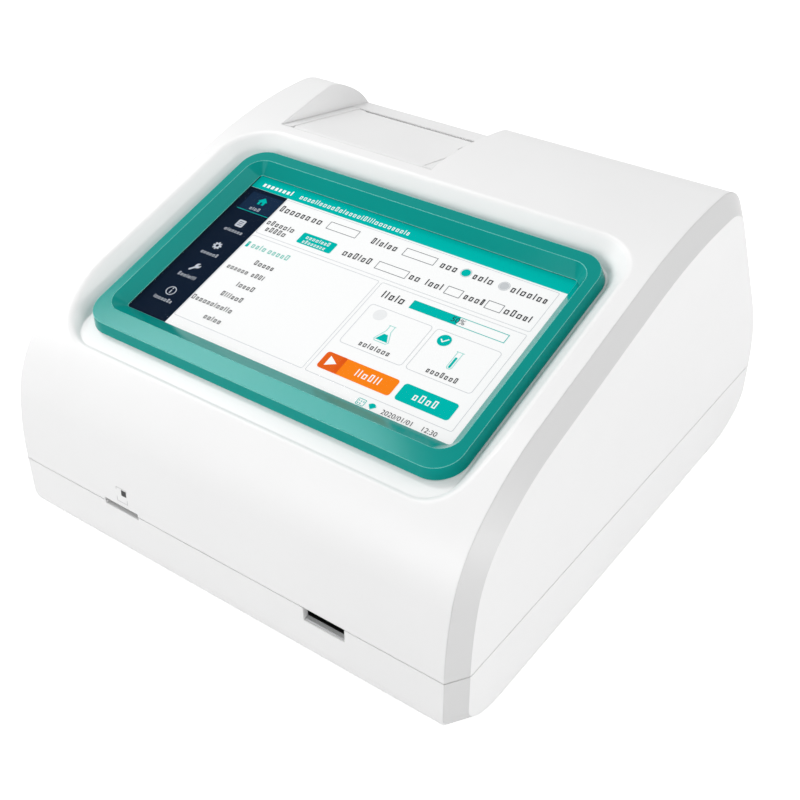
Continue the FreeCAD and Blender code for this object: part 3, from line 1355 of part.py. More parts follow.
def build():
    for make in (upper_housing, lower_housing, screen_bezel, touch_glass, lcd_panel, lcd_bracket,
                 bracket_screws, printer_frame, printer_lid, lid_hinge_pin, lid_release_lever, platen,
                 printer_gears, printer_motor, print_head, paper_roll, scan_frame, guide_rods, lead_screw,
                 scan_motor, card_tray, screw_nut, optics, card_mouth, home_sensor, main_board,
                 board_screws, id_card_socket, rear_port_plate, power_switch, rear_ports, rubber_feet,
                 case_screws):
        make()
    doc.recompute()


def check():
    """Stops before anything is written if an object failed or a shape is bad."""
    faults = []
    for thing in doc.Objects:
        if "Invalid" in thing.State or "Error" in thing.State:
            faults.append("%s: %s" % (thing.Label, thing.State))
    for node in nodes:
        if node.Shape.isNull() or not node.Shape.isValid() or not node.Shape.Solids:
            faults.append("%s: bad shape" % node.Label)
    if faults:
        raise RuntimeError("; ".join(faults))


def write():
    os.makedirs("parts", exist_ok=True)
    for node in nodes:
        node.Shape.exportStep(os.path.join("parts", node.Label + ".step"))
        box = node.Shape.BoundBox
        print("%-20s solids %2d  volume %10.1f  x %7.1f %7.1f  y %7.1f %7.1f  z %6.1f %6.1f" % (
            node.Label, len(node.Shape.Solids), node.Shape.Volume, box.XMin, box.XMax,
            box.YMin, box.YMax, box.ZMin, box.ZMax))


build()
check()
write()
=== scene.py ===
import json
import math
import random

import bpy
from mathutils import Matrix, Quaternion, Vector


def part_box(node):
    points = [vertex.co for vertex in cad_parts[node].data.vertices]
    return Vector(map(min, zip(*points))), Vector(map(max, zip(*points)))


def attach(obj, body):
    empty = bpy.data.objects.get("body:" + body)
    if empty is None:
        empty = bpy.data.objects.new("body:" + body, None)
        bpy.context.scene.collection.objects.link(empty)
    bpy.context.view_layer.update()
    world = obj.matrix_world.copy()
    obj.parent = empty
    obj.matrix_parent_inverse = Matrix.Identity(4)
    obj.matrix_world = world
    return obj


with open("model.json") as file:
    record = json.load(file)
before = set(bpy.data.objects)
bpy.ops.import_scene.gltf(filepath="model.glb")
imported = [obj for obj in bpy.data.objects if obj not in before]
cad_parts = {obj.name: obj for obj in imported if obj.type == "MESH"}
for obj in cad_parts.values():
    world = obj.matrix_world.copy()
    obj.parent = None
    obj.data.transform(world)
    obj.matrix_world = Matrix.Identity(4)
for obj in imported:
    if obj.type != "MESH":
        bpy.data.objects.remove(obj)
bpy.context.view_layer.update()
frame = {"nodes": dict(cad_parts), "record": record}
nodes = frame["nodes"]
mm = 0.001


# shader maths: a Wire is one output socket, a Finish is the node tree of one material or of the world

class Wire:
    def __init__(self, finish, socket):
        self.finish, self.socket = finish, socket

    def other(self, output):                            # another output of the same node
        return Wire(self.finish, self.socket.node.outputs[output])

    def math(self, operation, *values):
        return self.finish.node("ShaderNodeMath", {"operation": operation}, dict(enumerate(values)))

    def __add__(self, other):
        return self.math("ADD", self, other)

    def __sub__(self, other):
        return self.math("SUBTRACT", self, other)

    def __rsub__(self, other):
        return self.math("SUBTRACT", other, self)

    def __mul__(self, other):
        return self.math("MULTIPLY", self, other)

    def __pow__(self, other):
        return self.math("POWER", self, other)

    def __gt__(self, other):
        return self.math("GREATER_THAN", self, other)

    def __lt__(self, other):
        return self.math("LESS_THAN", self, other)

    __radd__ = __add__
    __rmul__ = __mul__

    def between(self, low, high):                       # 0 below low, 1 above high, smooth in between
        return self.finish.node("ShaderNodeMapRange", {"interpolation_type": "SMOOTHSTEP"},
                                {0: self, 1: low, 2: high})


class Finish:
    def __init__(self, name, world=None):
        self.owner = world or bpy.data.materials.new(name)
        self.owner.use_nodes = True
        self.tree = self.owner.node_tree
        self.tree.nodes.clear()
        self.out = self.tree.nodes.new("ShaderNodeOutput" + ("World" if world else "Material"))

    def node(self, kind, settings=None, inputs=None, output=0):
        made = self.tree.nodes.new(kind)
        for key, value in (settings or {}).items():
            setattr(made, key, value)
        for key, value in (inputs or {}).items():
            if isinstance(value, Wire):
                self.tree.links.new(value.socket, made.inputs[key])
            else:
                made.inputs[key].default_value = value
        return Wire(self, made.outputs[output])

    def place(self, stretch=(1, 1, 1)):                 # object coordinates, in metres
        spot = self.node("ShaderNodeTexCoord", output="Object")
        if stretch == (1, 1, 1):
            return spot
        return self.node("ShaderNodeMapping", None, {"Vector": spot, "Scale": stretch})

    def parts(self):                                    # x, y and z of the object coordinates
        x = self.node("ShaderNodeSeparateXYZ", None, {0: self.place()})
        return x, x.other(1), x.other(2)

    def seen(self):                                     # 1 where the camera or a reflection meets it
        camera = self.node("ShaderNodeLightPath", output="Is Camera Ray")
        return camera.math("MAXIMUM", camera, camera.other("Is Glossy Ray"))

    def noise(self, grain, detail=2.0, stretch=(1, 1, 1)):  # grain is the size of a blotch in millimetres
        return self.node("ShaderNodeTexNoise", None,
                         {"Vector": self.place(stretch), "Scale": 1000 / grain, "Detail": detail})

    def mix(self, share, first, second):                # two colours
        inputs = {0: share}
        for key, value in ((6, first), (7, second)):
            inputs[key] = value if isinstance(value, Wire) else (*value, 1)
        return self.node("ShaderNodeMix", {"data_type": "RGBA"}, inputs, 2)

    def tones(self, share, colour, low, high):          # one colour, from a darker to a lighter tone
        return self.mix(share, shade(colour, low), shade(colour, high))

    def bump(self, height, depth, strength=1.0, normal=None):  # depth in millimetres
        inputs = {"Height": height, "Distance": depth * mm, "Strength": strength}
        if normal:
            inputs["Normal"] = normal
        return self.node("ShaderNodeBump", None, inputs)

    def softEdges(self, radius):                        # rounds the look of edges, radius in millimetres
        return self.node("ShaderNodeBevel", {"samples": 6}, {"Radius": radius * mm})

    def surface(self, **sockets):                       # Principled shader; keys are its socket names
        inputs = {key.replace("_", " "): value for key, value in sockets.items()}
        for key in ("Base Color", "Emission Color", "Specular Tint"):
            if key in inputs and not isinstance(inputs[key], Wire):
                inputs[key] = (*inputs[key], 1)
        return self.node("ShaderNodeBsdfPrincipled", None, inputs)

    def done(self, shader):
        self.tree.links.new(shader.socket, self.out.inputs["Surface"])
        return self.owner


def srgb(red, green, blue):                             # 0 to 255 as seen on a screen, to linear
    return tuple((c / 255 / 12.92) if c / 255 <= 0.04045 else ((c / 255 + 0.055) / 1.055) ** 2.4
                 for c in (red, green, blue))


def shade(colour, factor):
    return tuple(min(1.0, c * factor) for c in colour)


def neutral(tone):
    return (tone, tone, tone)


# plastics; lengths in millimetres

# the case's bevel band is darkened in colour as painted shade
whiteCase = {"colour": srgb(240, 240, 240), "roughness": 0.40, "grain": 0.35, "depth": 0.010, "edge": 0.8,
             "bevel": (104.3, 109.55), "bevelShade": 0.77}
greyPlastic = {"colour": srgb(204, 205, 206), "roughness": 0.5, "grain": 0.3, "depth": 0.02, "edge": 0.4}
darkPlastic = {"colour": srgb(14, 14, 15), "roughness": 0.48, "grain": 0.25, "depth": 0.02, "edge": 0.3}
naturalNylon = {"colour": srgb(226, 221, 206), "roughness": 0.5, "grain": 0.5, "depth": 0.006, "edge": 0.15}
# the slot lining turns near black behind its lip: painted shade
slotLining = {**greyPlastic, "deep": -121.9, "deepShade": 0.01}
mould = {"cloud": 45, "tones": (0.975, 1.015), "cloudRough": 0.10, "sparkRough": 0.08, "bump": 0.6,
         "bevelIn": 0.15, "bevelOut": 0.1}              # what all the mouldings share


def mouldedPlastic(name, look, settings=None):
    finish = Finish(name)
    cloud = finish.noise(mould["cloud"], 3)             # slow drift of tone from the mould
    spark = finish.noise(look["grain"], 2)
    colour = finish.tones(cloud, look["colour"], *mould["tones"])
    if "bevel" in look:                                 # painted shade: the edge bevel of the case is darker in colour, standing in for the shade it lies in
        across = finish.parts()[0]
        side = across.math("ABSOLUTE", across)
        inner, outer = (edge * mm for edge in look["bevel"])
        soft, fade = mould["bevelIn"] * mm, mould["bevelOut"] * mm
        onShadedBevel = side.between(inner - soft, inner + soft) * (1 - side.between(outer, outer + fade))
        colour = finish.mix(onShadedBevel, colour, shade(look["colour"], look["bevelShade"]))
    if "deep" in look:                                  # painted shade: near black behind the lip of the slot, where shade falls
        shadedInside = finish.parts()[1] > look["deep"] * mm
        colour = finish.mix(shadedInside, colour, shade(look["colour"], look["deepShade"]))
    rough = look["roughness"] + (cloud - 0.5) * mould["cloudRough"] + (spark - 0.5) * mould["sparkRough"]
    normal = finish.bump(spark, look["depth"], mould["bump"], finish.softEdges(look["edge"]))
    return finish.done(finish.surface(Base_Color=colour, Roughness=rough, Normal=normal, **(settings or {})))


# the light line along the bezel's edges is a painted highlight
tealFrame = {"colour": (0.0, 0.275, 0.243), "cloud": 30, "tones": (0.95, 1.04), "roughness": 0.14,
             "spread": 0.06, "gloss": 0.13, "glossTone": (0.45, 1, 0.97), "ripple": 6, "depth": 0.02,
             "bump": 0.35, "edge": 0.4, "line": 20.0, "highlightShare": 0.7, "highlightColour": srgb(150, 232, 222)}


def glossyFrame(look):
    finish = Finish("tealGloss")
    cloud = finish.noise(look["cloud"], 2)
    ripple = finish.noise(look["ripple"], 1)            # faint sink and orange peel of a glossy moulding
    colour = finish.tones(cloud, look["colour"], *look["tones"])
    soft = finish.softEdges(look["edge"])
    sharp = finish.node("ShaderNodeNewGeometry", output="Normal")
    turned = 1 - finish.node("ShaderNodeVectorMath", {"operation": "DOT_PRODUCT"}, {0: soft, 1: sharp}, "Value")
    line = turned.math("MINIMUM", turned * look["line"], look["highlightShare"])
    colour = finish.mix(line, colour, look["highlightColour"])  # painted highlight: a light line along the moulding's edges
    normal = finish.bump(ripple, look["depth"], look["bump"], soft)
    rough = look["roughness"] + (cloud - 0.5) * look["spread"]
    return finish.done(finish.surface(Base_Color=colour, Roughness=rough, Normal=normal,
                                      Specular_IOR_Level=look["gloss"], Specular_Tint=look["glossTone"]))


# metals

metals = {
    "sheet_steel": {"colour": (0.62, 0.63, 0.65), "roughness": 0.34, "stretch": (1, 1, 12), "grain": 2.0},
    "steel": {"colour": (0.68, 0.68, 0.68), "roughness": 0.20, "stretch": (1, 10, 10), "grain": 1.2},
    "aluminium": {"colour": (0.78, 0.79, 0.80), "roughness": 0.32, "stretch": (14, 1, 1), "grain": 1.6},
    "brass": {"colour": (0.76, 0.53, 0.20), "roughness": 0.28, "stretch": (1, 9, 1), "grain": 1.2},
}
brush = {"tones": (0.88, 1.06), "spread": 0.16, "spangles": 160.0, "spangleRough": 0.05, "depth": 0.012,
         "bump": 0.5, "edge": 0.25}                     # what the bare metals share


def bareMetal(name, look):
    finish = Finish(name)
    brushed = finish.noise(look["grain"], 4, look["stretch"])
    spangle = finish.node("ShaderNodeTexVoronoi", None, {"Vector": finish.place(), "Scale": brush["spangles"]})
    colour = finish.tones(brushed, look["colour"], *brush["tones"])
    rough = look["roughness"] + (brushed - 0.5) * brush["spread"] + (spangle - 0.3) * brush["spangleRough"]
    normal = finish.bump(brushed, brush["depth"], brush["bump"], finish.softEdges(brush["edge"]))
    return finish.done(finish.surface(Base_Color=colour, Roughness=rough, Metallic=1.0, Normal=normal))


anodised = {"grain": 0.5, "dark": (0.012, 0.012, 0.014), "light": (0.030, 0.030, 0.034), "roughness": 0.42,
            "spread": 0.1, "metal": 0.6, "depth": 0.01, "bump": 0.4, "edge": 0.4}


def blackAnodised(look):
    finish = Finish("blackAnodised")
    grain = finish.noise(look["grain"], 3)
    colour = finish.mix(grain, look["dark"], look["light"])
    normal = finish.bump(grain, look["depth"], look["bump"], finish.softEdges(look["edge"]))
    return finish.done(finish.surface(Base_Color=colour, Roughness=look["roughness"] + grain * look["spread"],
                                      Metallic=look["metal"], Normal=normal))


# rubber, paper, board and glass

mattRubber = {"grain": 0.4, "dust": 8, "dusty": (0.45, 0.75), "dark": neutral(0.016),
              "light": (0.040, 0.039, 0.037), "roughness": 0.78, "spread": 0.15, "depth": 0.05, "bump": 0.7,
              "edge": 0.5}


def softRubber(look):
    finish = Finish("mattRubber")
    grain, dust = finish.noise(look["grain"], 3), finish.noise(look["dust"], 3)
    colour = finish.mix(dust.between(*look["dusty"]), look["dark"], look["light"])
    rough = look["roughness"] + (grain - 0.5) * look["spread"]
    normal = finish.bump(grain, look["depth"], look["bump"], finish.softEdges(look["edge"]))
    return finish.done(finish.surface(Base_Color=colour, Roughness=rough, Normal=normal))


paperRoll = {"axis": (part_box("roll_core")[0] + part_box("roll_core")[1]) / 2, "lap": 0.35, "fibre": 0.8,
             "dark": srgb(226, 226, 222), "light": srgb(246, 246, 243), "roughness": 0.66, "spread": 0.1,
             "fibreHigh": 0.4, "depth": 0.03, "bump": 0.5}


def thermalPaper(look):
    finish = Finish("thermalPaper")
    y, z = finish.parts()[1:]
    away = ((y - look["axis"].y) ** 2 + (z - look["axis"].z) ** 2) ** 0.5
    turn = away * (2 * math.pi / (look["lap"] * mm))
    laps = turn.math("SINE", turn)                      # edges of the wound layers
    fibre = finish.noise(look["fibre"], 4)
    colour = finish.mix(laps.between(-1.0, 1.0), look["dark"], look["light"])
    normal = finish.bump(laps + fibre * look["fibreHigh"], look["depth"], look["bump"])
    return finish.done(finish.surface(Base_Color=colour, Roughness=look["roughness"] + fibre * look["spread"],
                                      Normal=normal))


cardboard = {"fibre": 1.2, "stretch": (1, 6, 6), "dark": srgb(138, 104, 68), "light": srgb(186, 152, 110),
             "roughness": 0.85, "depth": 0.06, "bump": 0.8}


def brownBoard(look):
    finish = Finish("brownCardboard")
    fibre = finish.noise(look["fibre"], 6, look["stretch"])
    colour = finish.mix(fibre, look["dark"], look["light"])
    return finish.done(finish.surface(Base_Color=colour, Roughness=look["roughness"],
                                      Normal=finish.bump(fibre, look["depth"], look["bump"])))


ceramic = {"speck": 0.6, "dark": srgb(214, 206, 186), "light": srgb(232, 226, 210), "roughness": 0.18,
           "spread": 0.08, "glaze": 0.4, "edge": 0.3}


def glazedCeramic(look):
    finish = Finish("glazedCeramic")
    speck = finish.noise(look["speck"], 3)
    colour = finish.mix(speck, look["dark"], look["light"])
    return finish.done(finish.surface(Base_Color=colour, Roughness=look["roughness"] + speck * look["spread"],
                                      Coat_Weight=look["glaze"], Normal=finish.softEdges(look["edge"])))


board = {"top": 29.8, "clear": 0.15, "highest": 49, "mask": srgb(18, 92, 52), "copper": srgb(34, 124, 74),
         "package": srgb(28, 28, 31), "tracks": 180.0, "trackWide": 0.035, "trackShare": 0.9, "grain": 1.0,
         "grainShare": 0.1, "roughness": 0.30, "packageRough": 0.22, "depth": 0.03, "bump": 0.6, "edge": 0.2}


def circuitBoard(look):
    finish = Finish("circuitBoard")
    z = finish.parts()[2]
    tracks = finish.node("ShaderNodeTexBrick", {"offset": 0.37, "squash": 0.7, "squash_frequency": 3},
                         {"Vector": finish.place(), "Color1": (0, 0, 0, 1), "Color2": (0, 0, 0, 1),
                          "Mortar": (1, 1, 1, 1), "Scale": look["tracks"], "Mortar Size": look["trackWide"]})
    grain = finish.noise(look["grain"], 3)
    mask = finish.mix(tracks * look["trackShare"] + grain * look["grainShare"], look["mask"], look["copper"])
    raised = z > (look["top"] + look["clear"]) * mm     # component bodies stand above the board
    colour = finish.mix(raised * (z < look["highest"] * mm), mask, look["package"])
    rough = look["roughness"] + raised * look["packageRough"]
    normal = finish.bump(tracks, look["depth"], look["bump"], finish.softEdges(look["edge"]))
    return finish.done(finish.surface(Base_Color=colour, Roughness=rough, Normal=normal))


touchGlass = {"gloss": 0.015, "roughness": 0.03}
coatedLens = {"gloss": 0.25, "roughness": 0.02}
clear = {"through": (0.985, 0.99, 0.99, 1), "colour": (0.01, 0.012, 0.012), "wipes": 25, "spread": 0.04}


def clearGlass(name, look):
    finish = Finish(name)
    through = finish.node("ShaderNodeBsdfTransparent", None, {"Color": clear["through"]})
    film = finish.noise(clear["wipes"], 3)              # faint wipe marks on the glass
    gloss = finish.surface(Base_Color=clear["colour"], Roughness=look["roughness"] + film * clear["spread"])
    return finish.done(finish.node("ShaderNodeMixShader", None, {0: look["gloss"], 1: through, 2: gloss}))


displayBack = {"grain": 0.3, "dark": srgb(20, 22, 25), "light": srgb(30, 32, 36), "roughness": 0.35,
               "spread": 0.1, "edge": 0.3}


def darkModule(look):
    finish = Finish("displayModule")
    grain = finish.noise(look["grain"], 2)
    colour = finish.mix(grain, look["dark"], look["light"])
    return finish.done(finish.surface(Base_Color=colour, Roughness=look["roughness"] + grain * look["spread"],
                                      Normal=finish.softEdges(look["edge"])))


finishes = {
    "white_case": mouldedPlastic("whiteCase", whiteCase),
    "grey_plastic": mouldedPlastic("greyPlastic", greyPlastic),
    "dark_plastic": mouldedPlastic("darkPlastic", darkPlastic, {"Specular_IOR_Level": 0.15}),
    "nylon": mouldedPlastic("naturalNylon", naturalNylon, {"Subsurface_Weight": 0.15}),
    "teal_frame": glossyFrame(tealFrame),
    "screen_glass": clearGlass("touchGlass", touchGlass),
    "lens": clearGlass("coatedLens", coatedLens),
    "display": darkModule(displayBack),
    "black_aluminium": blackAnodised(anodised),
    "rubber": softRubber(mattRubber),
    "paper": thermalPaper(paperRoll),
    "cardboard": brownBoard(cardboard),
    "ceramic": glazedCeramic(ceramic),
    "circuit": circuitBoard(board),
}
for metal, look in metals.items():
    finishes[metal] = bareMetal(metal + "Bare", look)
inTestSlot = {                                          # duller than the rest of their plastic; the slot lining also carries painted shade behind its lip
    "card_mouth": mouldedPlastic("slotLining", slotLining, {"Specular_IOR_Level": 0.1}),
    "card_tray": mouldedPlastic("trayPlastic", darkPlastic, {"Specular_IOR_Level": 0.05}),
}

slotOf = {entry["node"]: entry["material_slot"] for entry in frame["record"]["subparts"]}
for name, part in nodes.items():
    for holder in part.material_slots:
        holder.material = finishes[slotOf[name]]
for name, finish in inTestSlot.items():
    nodes[name].material_slots[0].material = finish
print("finishes on", len(nodes), "nodes")


# the picture on the display: flat shapes between the display panel and the touch glass

display = {                                             # lengths in millimetres
    "origin": (0.0, -82.94, 91.67), "lean": 16.7,       # lower edge of the picture, slope of the top
    "width": 154.1, "height": 85.9, "below": -1.7, "step": 0.05,  # step is the way from one layer to the next
    "cloud": 60, "tones": (0.985, 1.0), "glow": 0.62, "dim": 0.6, "roughness": 0.6,
    "page": srgb(255, 255, 255), "teal": srgb(0, 186, 177), "navy": srgb(19, 31, 49),
    "tile": srgb(26, 46, 72), "line": srgb(214, 217, 220), "box": srgb(120, 124, 128),
    "ink": srgb(34, 36, 40), "pale": srgb(198, 204, 214), "heading": srgb(112, 200, 186),
    "orange": srgb(255, 134, 26), "amber": srgb(234, 100, 30), "white": srgb(255, 255, 255),
    "grey": srgb(202, 205, 208), "mist": srgb(240, 241, 242), "aqua": srgb(160, 222, 214),
    "deep": srgb(40, 58, 62),
}
blocks = {                                              # they stand for letters, in shares of a word's height
    "pen": 0.14, "widths": (0, 0.42, 0.48, 0.48, 0.54), "bar": 0.3, "top": 0.3, "gap": 0.27, "rest": 0.2,
    "tall": 0.2, "space": 0.12,                         # how many are tall, and millimetres added to a gap
}


def onDisplay(u, w, layer):                             # u from the left, w from the top of the picture
    lean = math.radians(display["lean"])
    v, n = display["height"] - w, display["below"] + display["step"] * layer
    x, y, z = display["origin"]
    return Vector(((x + u - display["width"] / 2) * mm, (y + v * math.cos(lean) - n * math.sin(lean)) * mm,
                   (z + v * math.sin(lean) + n * math.cos(lean)) * mm))


def circle(u, w, radius, count):
    turns = [2 * math.pi * k / count for k in range(count)]
    return [(u + radius * math.cos(turn), w + radius * math.sin(turn)) for turn in turns]


def roundedBox(u0, u1, w0, w1, radius, reach, steps=6):  # a reach under the radius gives a line's inner side
    corners = []
    for u, w, start in ((u1 - radius, w0 + radius, -90), (u1 - radius, w1 - radius, 0),
                        (u0 + radius, w1 - radius, 90), (u0 + radius, w0 + radius, 180)):
        turns = [math.radians(start + 90 / steps * k) for k in range(steps + 1)]
        corners += [(u + reach * math.cos(turn), w + reach * math.sin(turn)) for turn in turns]
    return corners


def glowing(name, colour):                              # lit part of the display, a little uneven
    finish = Finish(name)
    lit = finish.tones(finish.noise(display["cloud"], 1), colour, *display["tones"])
    return finish.done(finish.surface(
        Base_Color=finish.mix(display["dim"], lit, neutral(0)), Roughness=display["roughness"],
        Emission_Color=lit, Emission_Strength=display["glow"], Specular_IOR_Level=0.0))


class Layer:                                            # collects the flat shapes of one colour
    def __init__(self, name, colour, level):
        self.name, self.colour, self.level = name, colour, level
        self.points, self.faces = [], []

    def face(self, points):
        first = len(self.points)
        self.points += points
        self.faces.append(tuple(range(first, len(self.points))))

    def shape(self, corners):
        self.face([onDisplay(u, w, self.level) for u, w in reversed(corners)])

    def box(self, u0, u1, w0, w1, radius=0.0):
        if radius:
            self.shape(roundedBox(u0, u1, w0, w1, radius, radius))
        else:
            self.shape(((u0, w0), (u1, w0), (u1, w1), (u0, w1)))

    def band(self, outer, inner):                       # closed band between two outlines of equal count
        for k in range(len(outer)):
            after = (k + 1) % len(outer)
            self.shape((outer[k], outer[after], inner[after], inner[k]))

    def outline(self, u0, u1, w0, w1, thick):
        self.box(u0, u1, w0, w0 + thick)
        self.box(u0, u1, w1 - thick, w1)
        self.box(u0, u0 + thick, w0 + thick, w1 - thick)
        self.box(u1 - thick, u1, w0 + thick, w1 - thick)

    def roundOutline(self, u0, u1, w0, w1, radius, thick):
        self.band(*(roundedBox(u0, u1, w0, w1, radius, reach) for reach in (radius, radius - thick)))

    def disc(self, u, w, radius, count=28):
        self.shape(circle(u, w, radius, count))

    def ring(self, u, w, radius, thick, count=32):
        self.band(circle(u, w, radius, count), circle(u, w, radius - thick, count))

    def stroke(self, path, thick):                      # line with round ends and corners
        for (u0, w0), (u1, w1) in zip(path, path[1:]):
            length = math.hypot(u1 - u0, w1 - w0)
            du, dw = (u1 - u0) / length * thick / 2, (w1 - w0) / length * thick / 2
            self.shape(((u0 - dw, w0 + du), (u0 + dw, w0 - du), (u1 + dw, w1 - du), (u1 - dw, w1 + du)))
        for u, w in path:
            self.disc(u, w, thick / 2, 10)

    def word(self, u0, u1, w0, w1, pen=blocks["pen"]):  # small hollow blocks and bars, no letters
        pick = random.Random(int(u0 * 10) * 31 + int(w0 * 10))
        high = w1 - w0
        u = u0
        while u < u1 - blocks["rest"] * high:
            wide = min(high * pick.choice(blocks["widths"]), u1 - u)
            if wide < blocks["bar"] * high:
                wide = pen * high
                self.box(u, u + wide, w0, w1)
            else:
                top = w0 if pick.random() < blocks["tall"] else w0 + high * blocks["top"]
                self.outline(u, u + wide, top, w1, pen * high)
            u += wide + high * blocks["gap"] + blocks["space"]

    def digits(self, text, u0, w1, size):               # plain numerals
        curve = bpy.data.curves.new(self.name + "Text", "FONT")
        curve.body, curve.size, curve.resolution_u = text, size, 3
        holder = bpy.data.objects.new(self.name + "Text", curve)
        bpy.context.scene.collection.objects.link(holder)
        bpy.context.view_layer.update()
        flat = bpy.data.meshes.new_from_object(holder.evaluated_get(bpy.context.evaluated_depsgraph_get()))
        for face in flat.polygons:
            corners = [flat.vertices[v].co for v in face.vertices]
            self.face([onDisplay(u0 + corner.x, w1 - corner.y, self.level) for corner in corners])
        bpy.data.objects.remove(holder)
        bpy.data.meshes.remove(flat)

    def make(self):
        mesh = bpy.data.meshes.new("display_" + self.name)
        mesh.from_pydata(self.points, [], self.faces)
        mesh.materials.append(glowing("glow_" + self.name, self.colour))
        piece = bpy.data.objects.new("display_" + self.name, mesh)
        bpy.context.scene.collection.objects.link(piece)
        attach(piece, "case")


layers = []


def layer(name, look):
    layers.append(Layer(name, display[look["colour"]], look["level"]))
    return layers[-1]


pageLook = {"colour": "page", "level": 0, "lap": 1.6}   # the page runs on under the frame on every side
lap = pageLook["lap"]
page = layer("page", pageLook)
page.box(-lap, display["width"] + lap, -lap, display["height"] + lap)

sideLook = {"colour": "navy", "level": 1, "right": 18.7, "top": 5.8}
side = layer("sideBar", sideLook)
side.box(-lap, sideLook["right"], sideLook["top"], display["height"] + lap)

tileLook = {"colour": "tile", "level": 2, "box": (1.6, 18.3, 8.0, 19.0), "round": 0.4}
tile = layer("homeTile", tileLook)
tile.box(*tileLook["box"], tileLook["round"])

tealLook = {
    "colour": "teal", "level": 3, "titleHigh": 5.8, "rule": (1.4, 18.3, 19.1, 19.4),
    "house": ((7.4, 12.1), (9.85, 9.8), (12.3, 12.1), (11.5, 12.1), (11.5, 14.1), (8.2, 14.1), (8.2, 12.1)),
    "chosen": (112.65, 12.1, 1.9), "typeKey": (38.8, 56.2, 19.8, 26.0, 0.8),
    "progress": (102.8, 145.0, 32.8, 37.2), "done": 124.0, "pen": 0.3,
    "tick": (124.6, 45.4, 2.8), "printKey": (123.5, 146.7, 68.7, 76.9, 1.4),
    "calendar": (112.2, 115.8, 81.9, 85.0, 0.5, 0.25),
    "day": 0.25, "days": ((113.0, 83.0), (114.0, 83.0), (115.0, 83.0), (113.0, 84.1), (114.0, 84.1)),
    "fan": (118.85, 84.9), "fanReach": (2.1, 2.9), "fanTurns": range(-52, 53, 13),
    "flaskLiquid": ((100.4, 55.8), (102.2, 52.4), (104.0, 52.4), (105.8, 55.8)),
    "tubeLiquid": (132.9, 133.9, 50.5, 56.0, 0.45), "headingFoot": (20.3, 21.7, 35.2, 37.0),
}
teal = layer("teal", tealLook)
teal.box(-lap, display["width"] + lap, -lap, tealLook["titleHigh"])
teal.box(*tealLook["rule"])
teal.shape(tealLook["house"])
teal.disc(*tealLook["chosen"])
teal.box(*tealLook["typeKey"])
teal.outline(*tealLook["progress"], tealLook["pen"])
barLeft, _, barTop, barFoot = tealLook["progress"]
teal.box(barLeft, tealLook["done"], barTop, barFoot)
teal.disc(*tealLook["tick"])
teal.box(*tealLook["printKey"])
teal.roundOutline(*tealLook["calendar"])
(fanU, fanW), (fanWide, fanHigh) = tealLook["fan"], tealLook["fanReach"]
fanRim = [(fanU + fanWide * math.sin(math.radians(turn)), fanW - fanHigh * math.cos(math.radians(turn)))
          for turn in tealLook["fanTurns"]]
teal.shape([tealLook["fan"]] + fanRim)
teal.shape(tealLook["flaskLiquid"])
teal.box(*tealLook["tubeLiquid"])
teal.box(*tealLook["headingFoot"])
for u, w in tealLook["days"]:
    teal.box(u - tealLook["day"], u + tealLook["day"], w - tealLook["day"], w + tealLook["day"])

iconLook = {
    "colour": "pale", "level": 4, "list": (7.8, 11.7, 24.8, 29.0, 0.6),
    "wheel": (9.4, 41.8), "teeth": 8, "tooth": ((-14, 1.55), (-9, 2.15), (9, 2.15), (14, 1.55)),
    "handle": ((7.6, 57.6), (9.6, 55.4)), "handleWide": 0.9, "jaw": (10.0, 54.8, 1.4),
    "note": (9.15, 70.7, 2.35, 0.38), "noteStem": (8.9, 9.4, 70.2, 72.0), "noteDot": (9.15, 69.3, 0.32, 12),
    "words": ((9.9, 17.1, 5.8), (9.8, 31.7, 9.4), (9.7, 46.9, 9.2), (9.5, 61.2, 9.2), (9.2, 75.7, 9.7)),
    "above": 1.0, "under": 0.9,                         # a word's reach from its middle line
}
icons = layer("sideIcons", iconLook)
icons.box(*iconLook["list"])
hubU, hubW = iconLook["wheel"]
wheel = []
for tooth in range(iconLook["teeth"]):
    for turn, reach in iconLook["tooth"]:
        angle = math.radians(360 / iconLook["teeth"] * tooth + turn)
        wheel.append((hubU + reach * math.cos(angle), hubW + reach * math.sin(angle)))
icons.shape(wheel)
icons.stroke(iconLook["handle"], iconLook["handleWide"])
icons.disc(*iconLook["jaw"])
icons.ring(*iconLook["note"])
icons.box(*iconLook["noteStem"])
icons.disc(*iconLook["noteDot"])
for u, w, wide in iconLook["words"]:
    icons.word(u - wide / 2, u + wide / 2, w - iconLook["above"], w + iconLook["under"])

notchLook = {"colour": "navy", "level": 5, "rows": (25.9, 26.9, 27.9), "row": (8.6, 10.9), "rowHalf": 0.16,
             "hub": (9.4, 41.8, 0.75, 16), "jaw": ((9.9, 54.5), (10.9, 53.1), (11.8, 53.8), (10.5, 55.0))}
notches = layer("sideNotches", notchLook)
for w in notchLook["rows"]:
    notches.box(*notchLook["row"], w - notchLook["rowHalf"], w + notchLook["rowHalf"])
notches.disc(*notchLook["hub"])
notches.shape(notchLook["jaw"])

doorLook = {"colour": "tile", "level": 5, "box": (9.35, 10.35, 12.6, 14.1)}
layer("homeDoor", doorLook).box(*doorLook["box"])

lineLook = {
    "colour": "line", "level": 2,
    "panels": ((19.0, 150.7, 6.5, 28.5), (19.0, 84.3, 30.0, 80.3), (85.5, 150.7, 30.0, 80.3)),
    "panelPen": (0.9, 0.28),                            # corner radius and thickness
    "cards": ((88.5, 117.2, 41.2, 63.1), (118.8, 147.3, 41.2, 63.1)), "cardPen": (1.6, 0.3),
}
lines = layer("panelLines", lineLook)
for panel in lineLook["panels"]:
    lines.roundOutline(*panel, *lineLook["panelPen"])
for card in lineLook["cards"]:
    lines.roundOutline(*card, *lineLook["cardPen"])

mistLook = {"colour": "mist", "level": 1, "disc": (95.0, 45.0, 2.8)}
layer("mist", mistLook).disc(*mistLook["disc"])

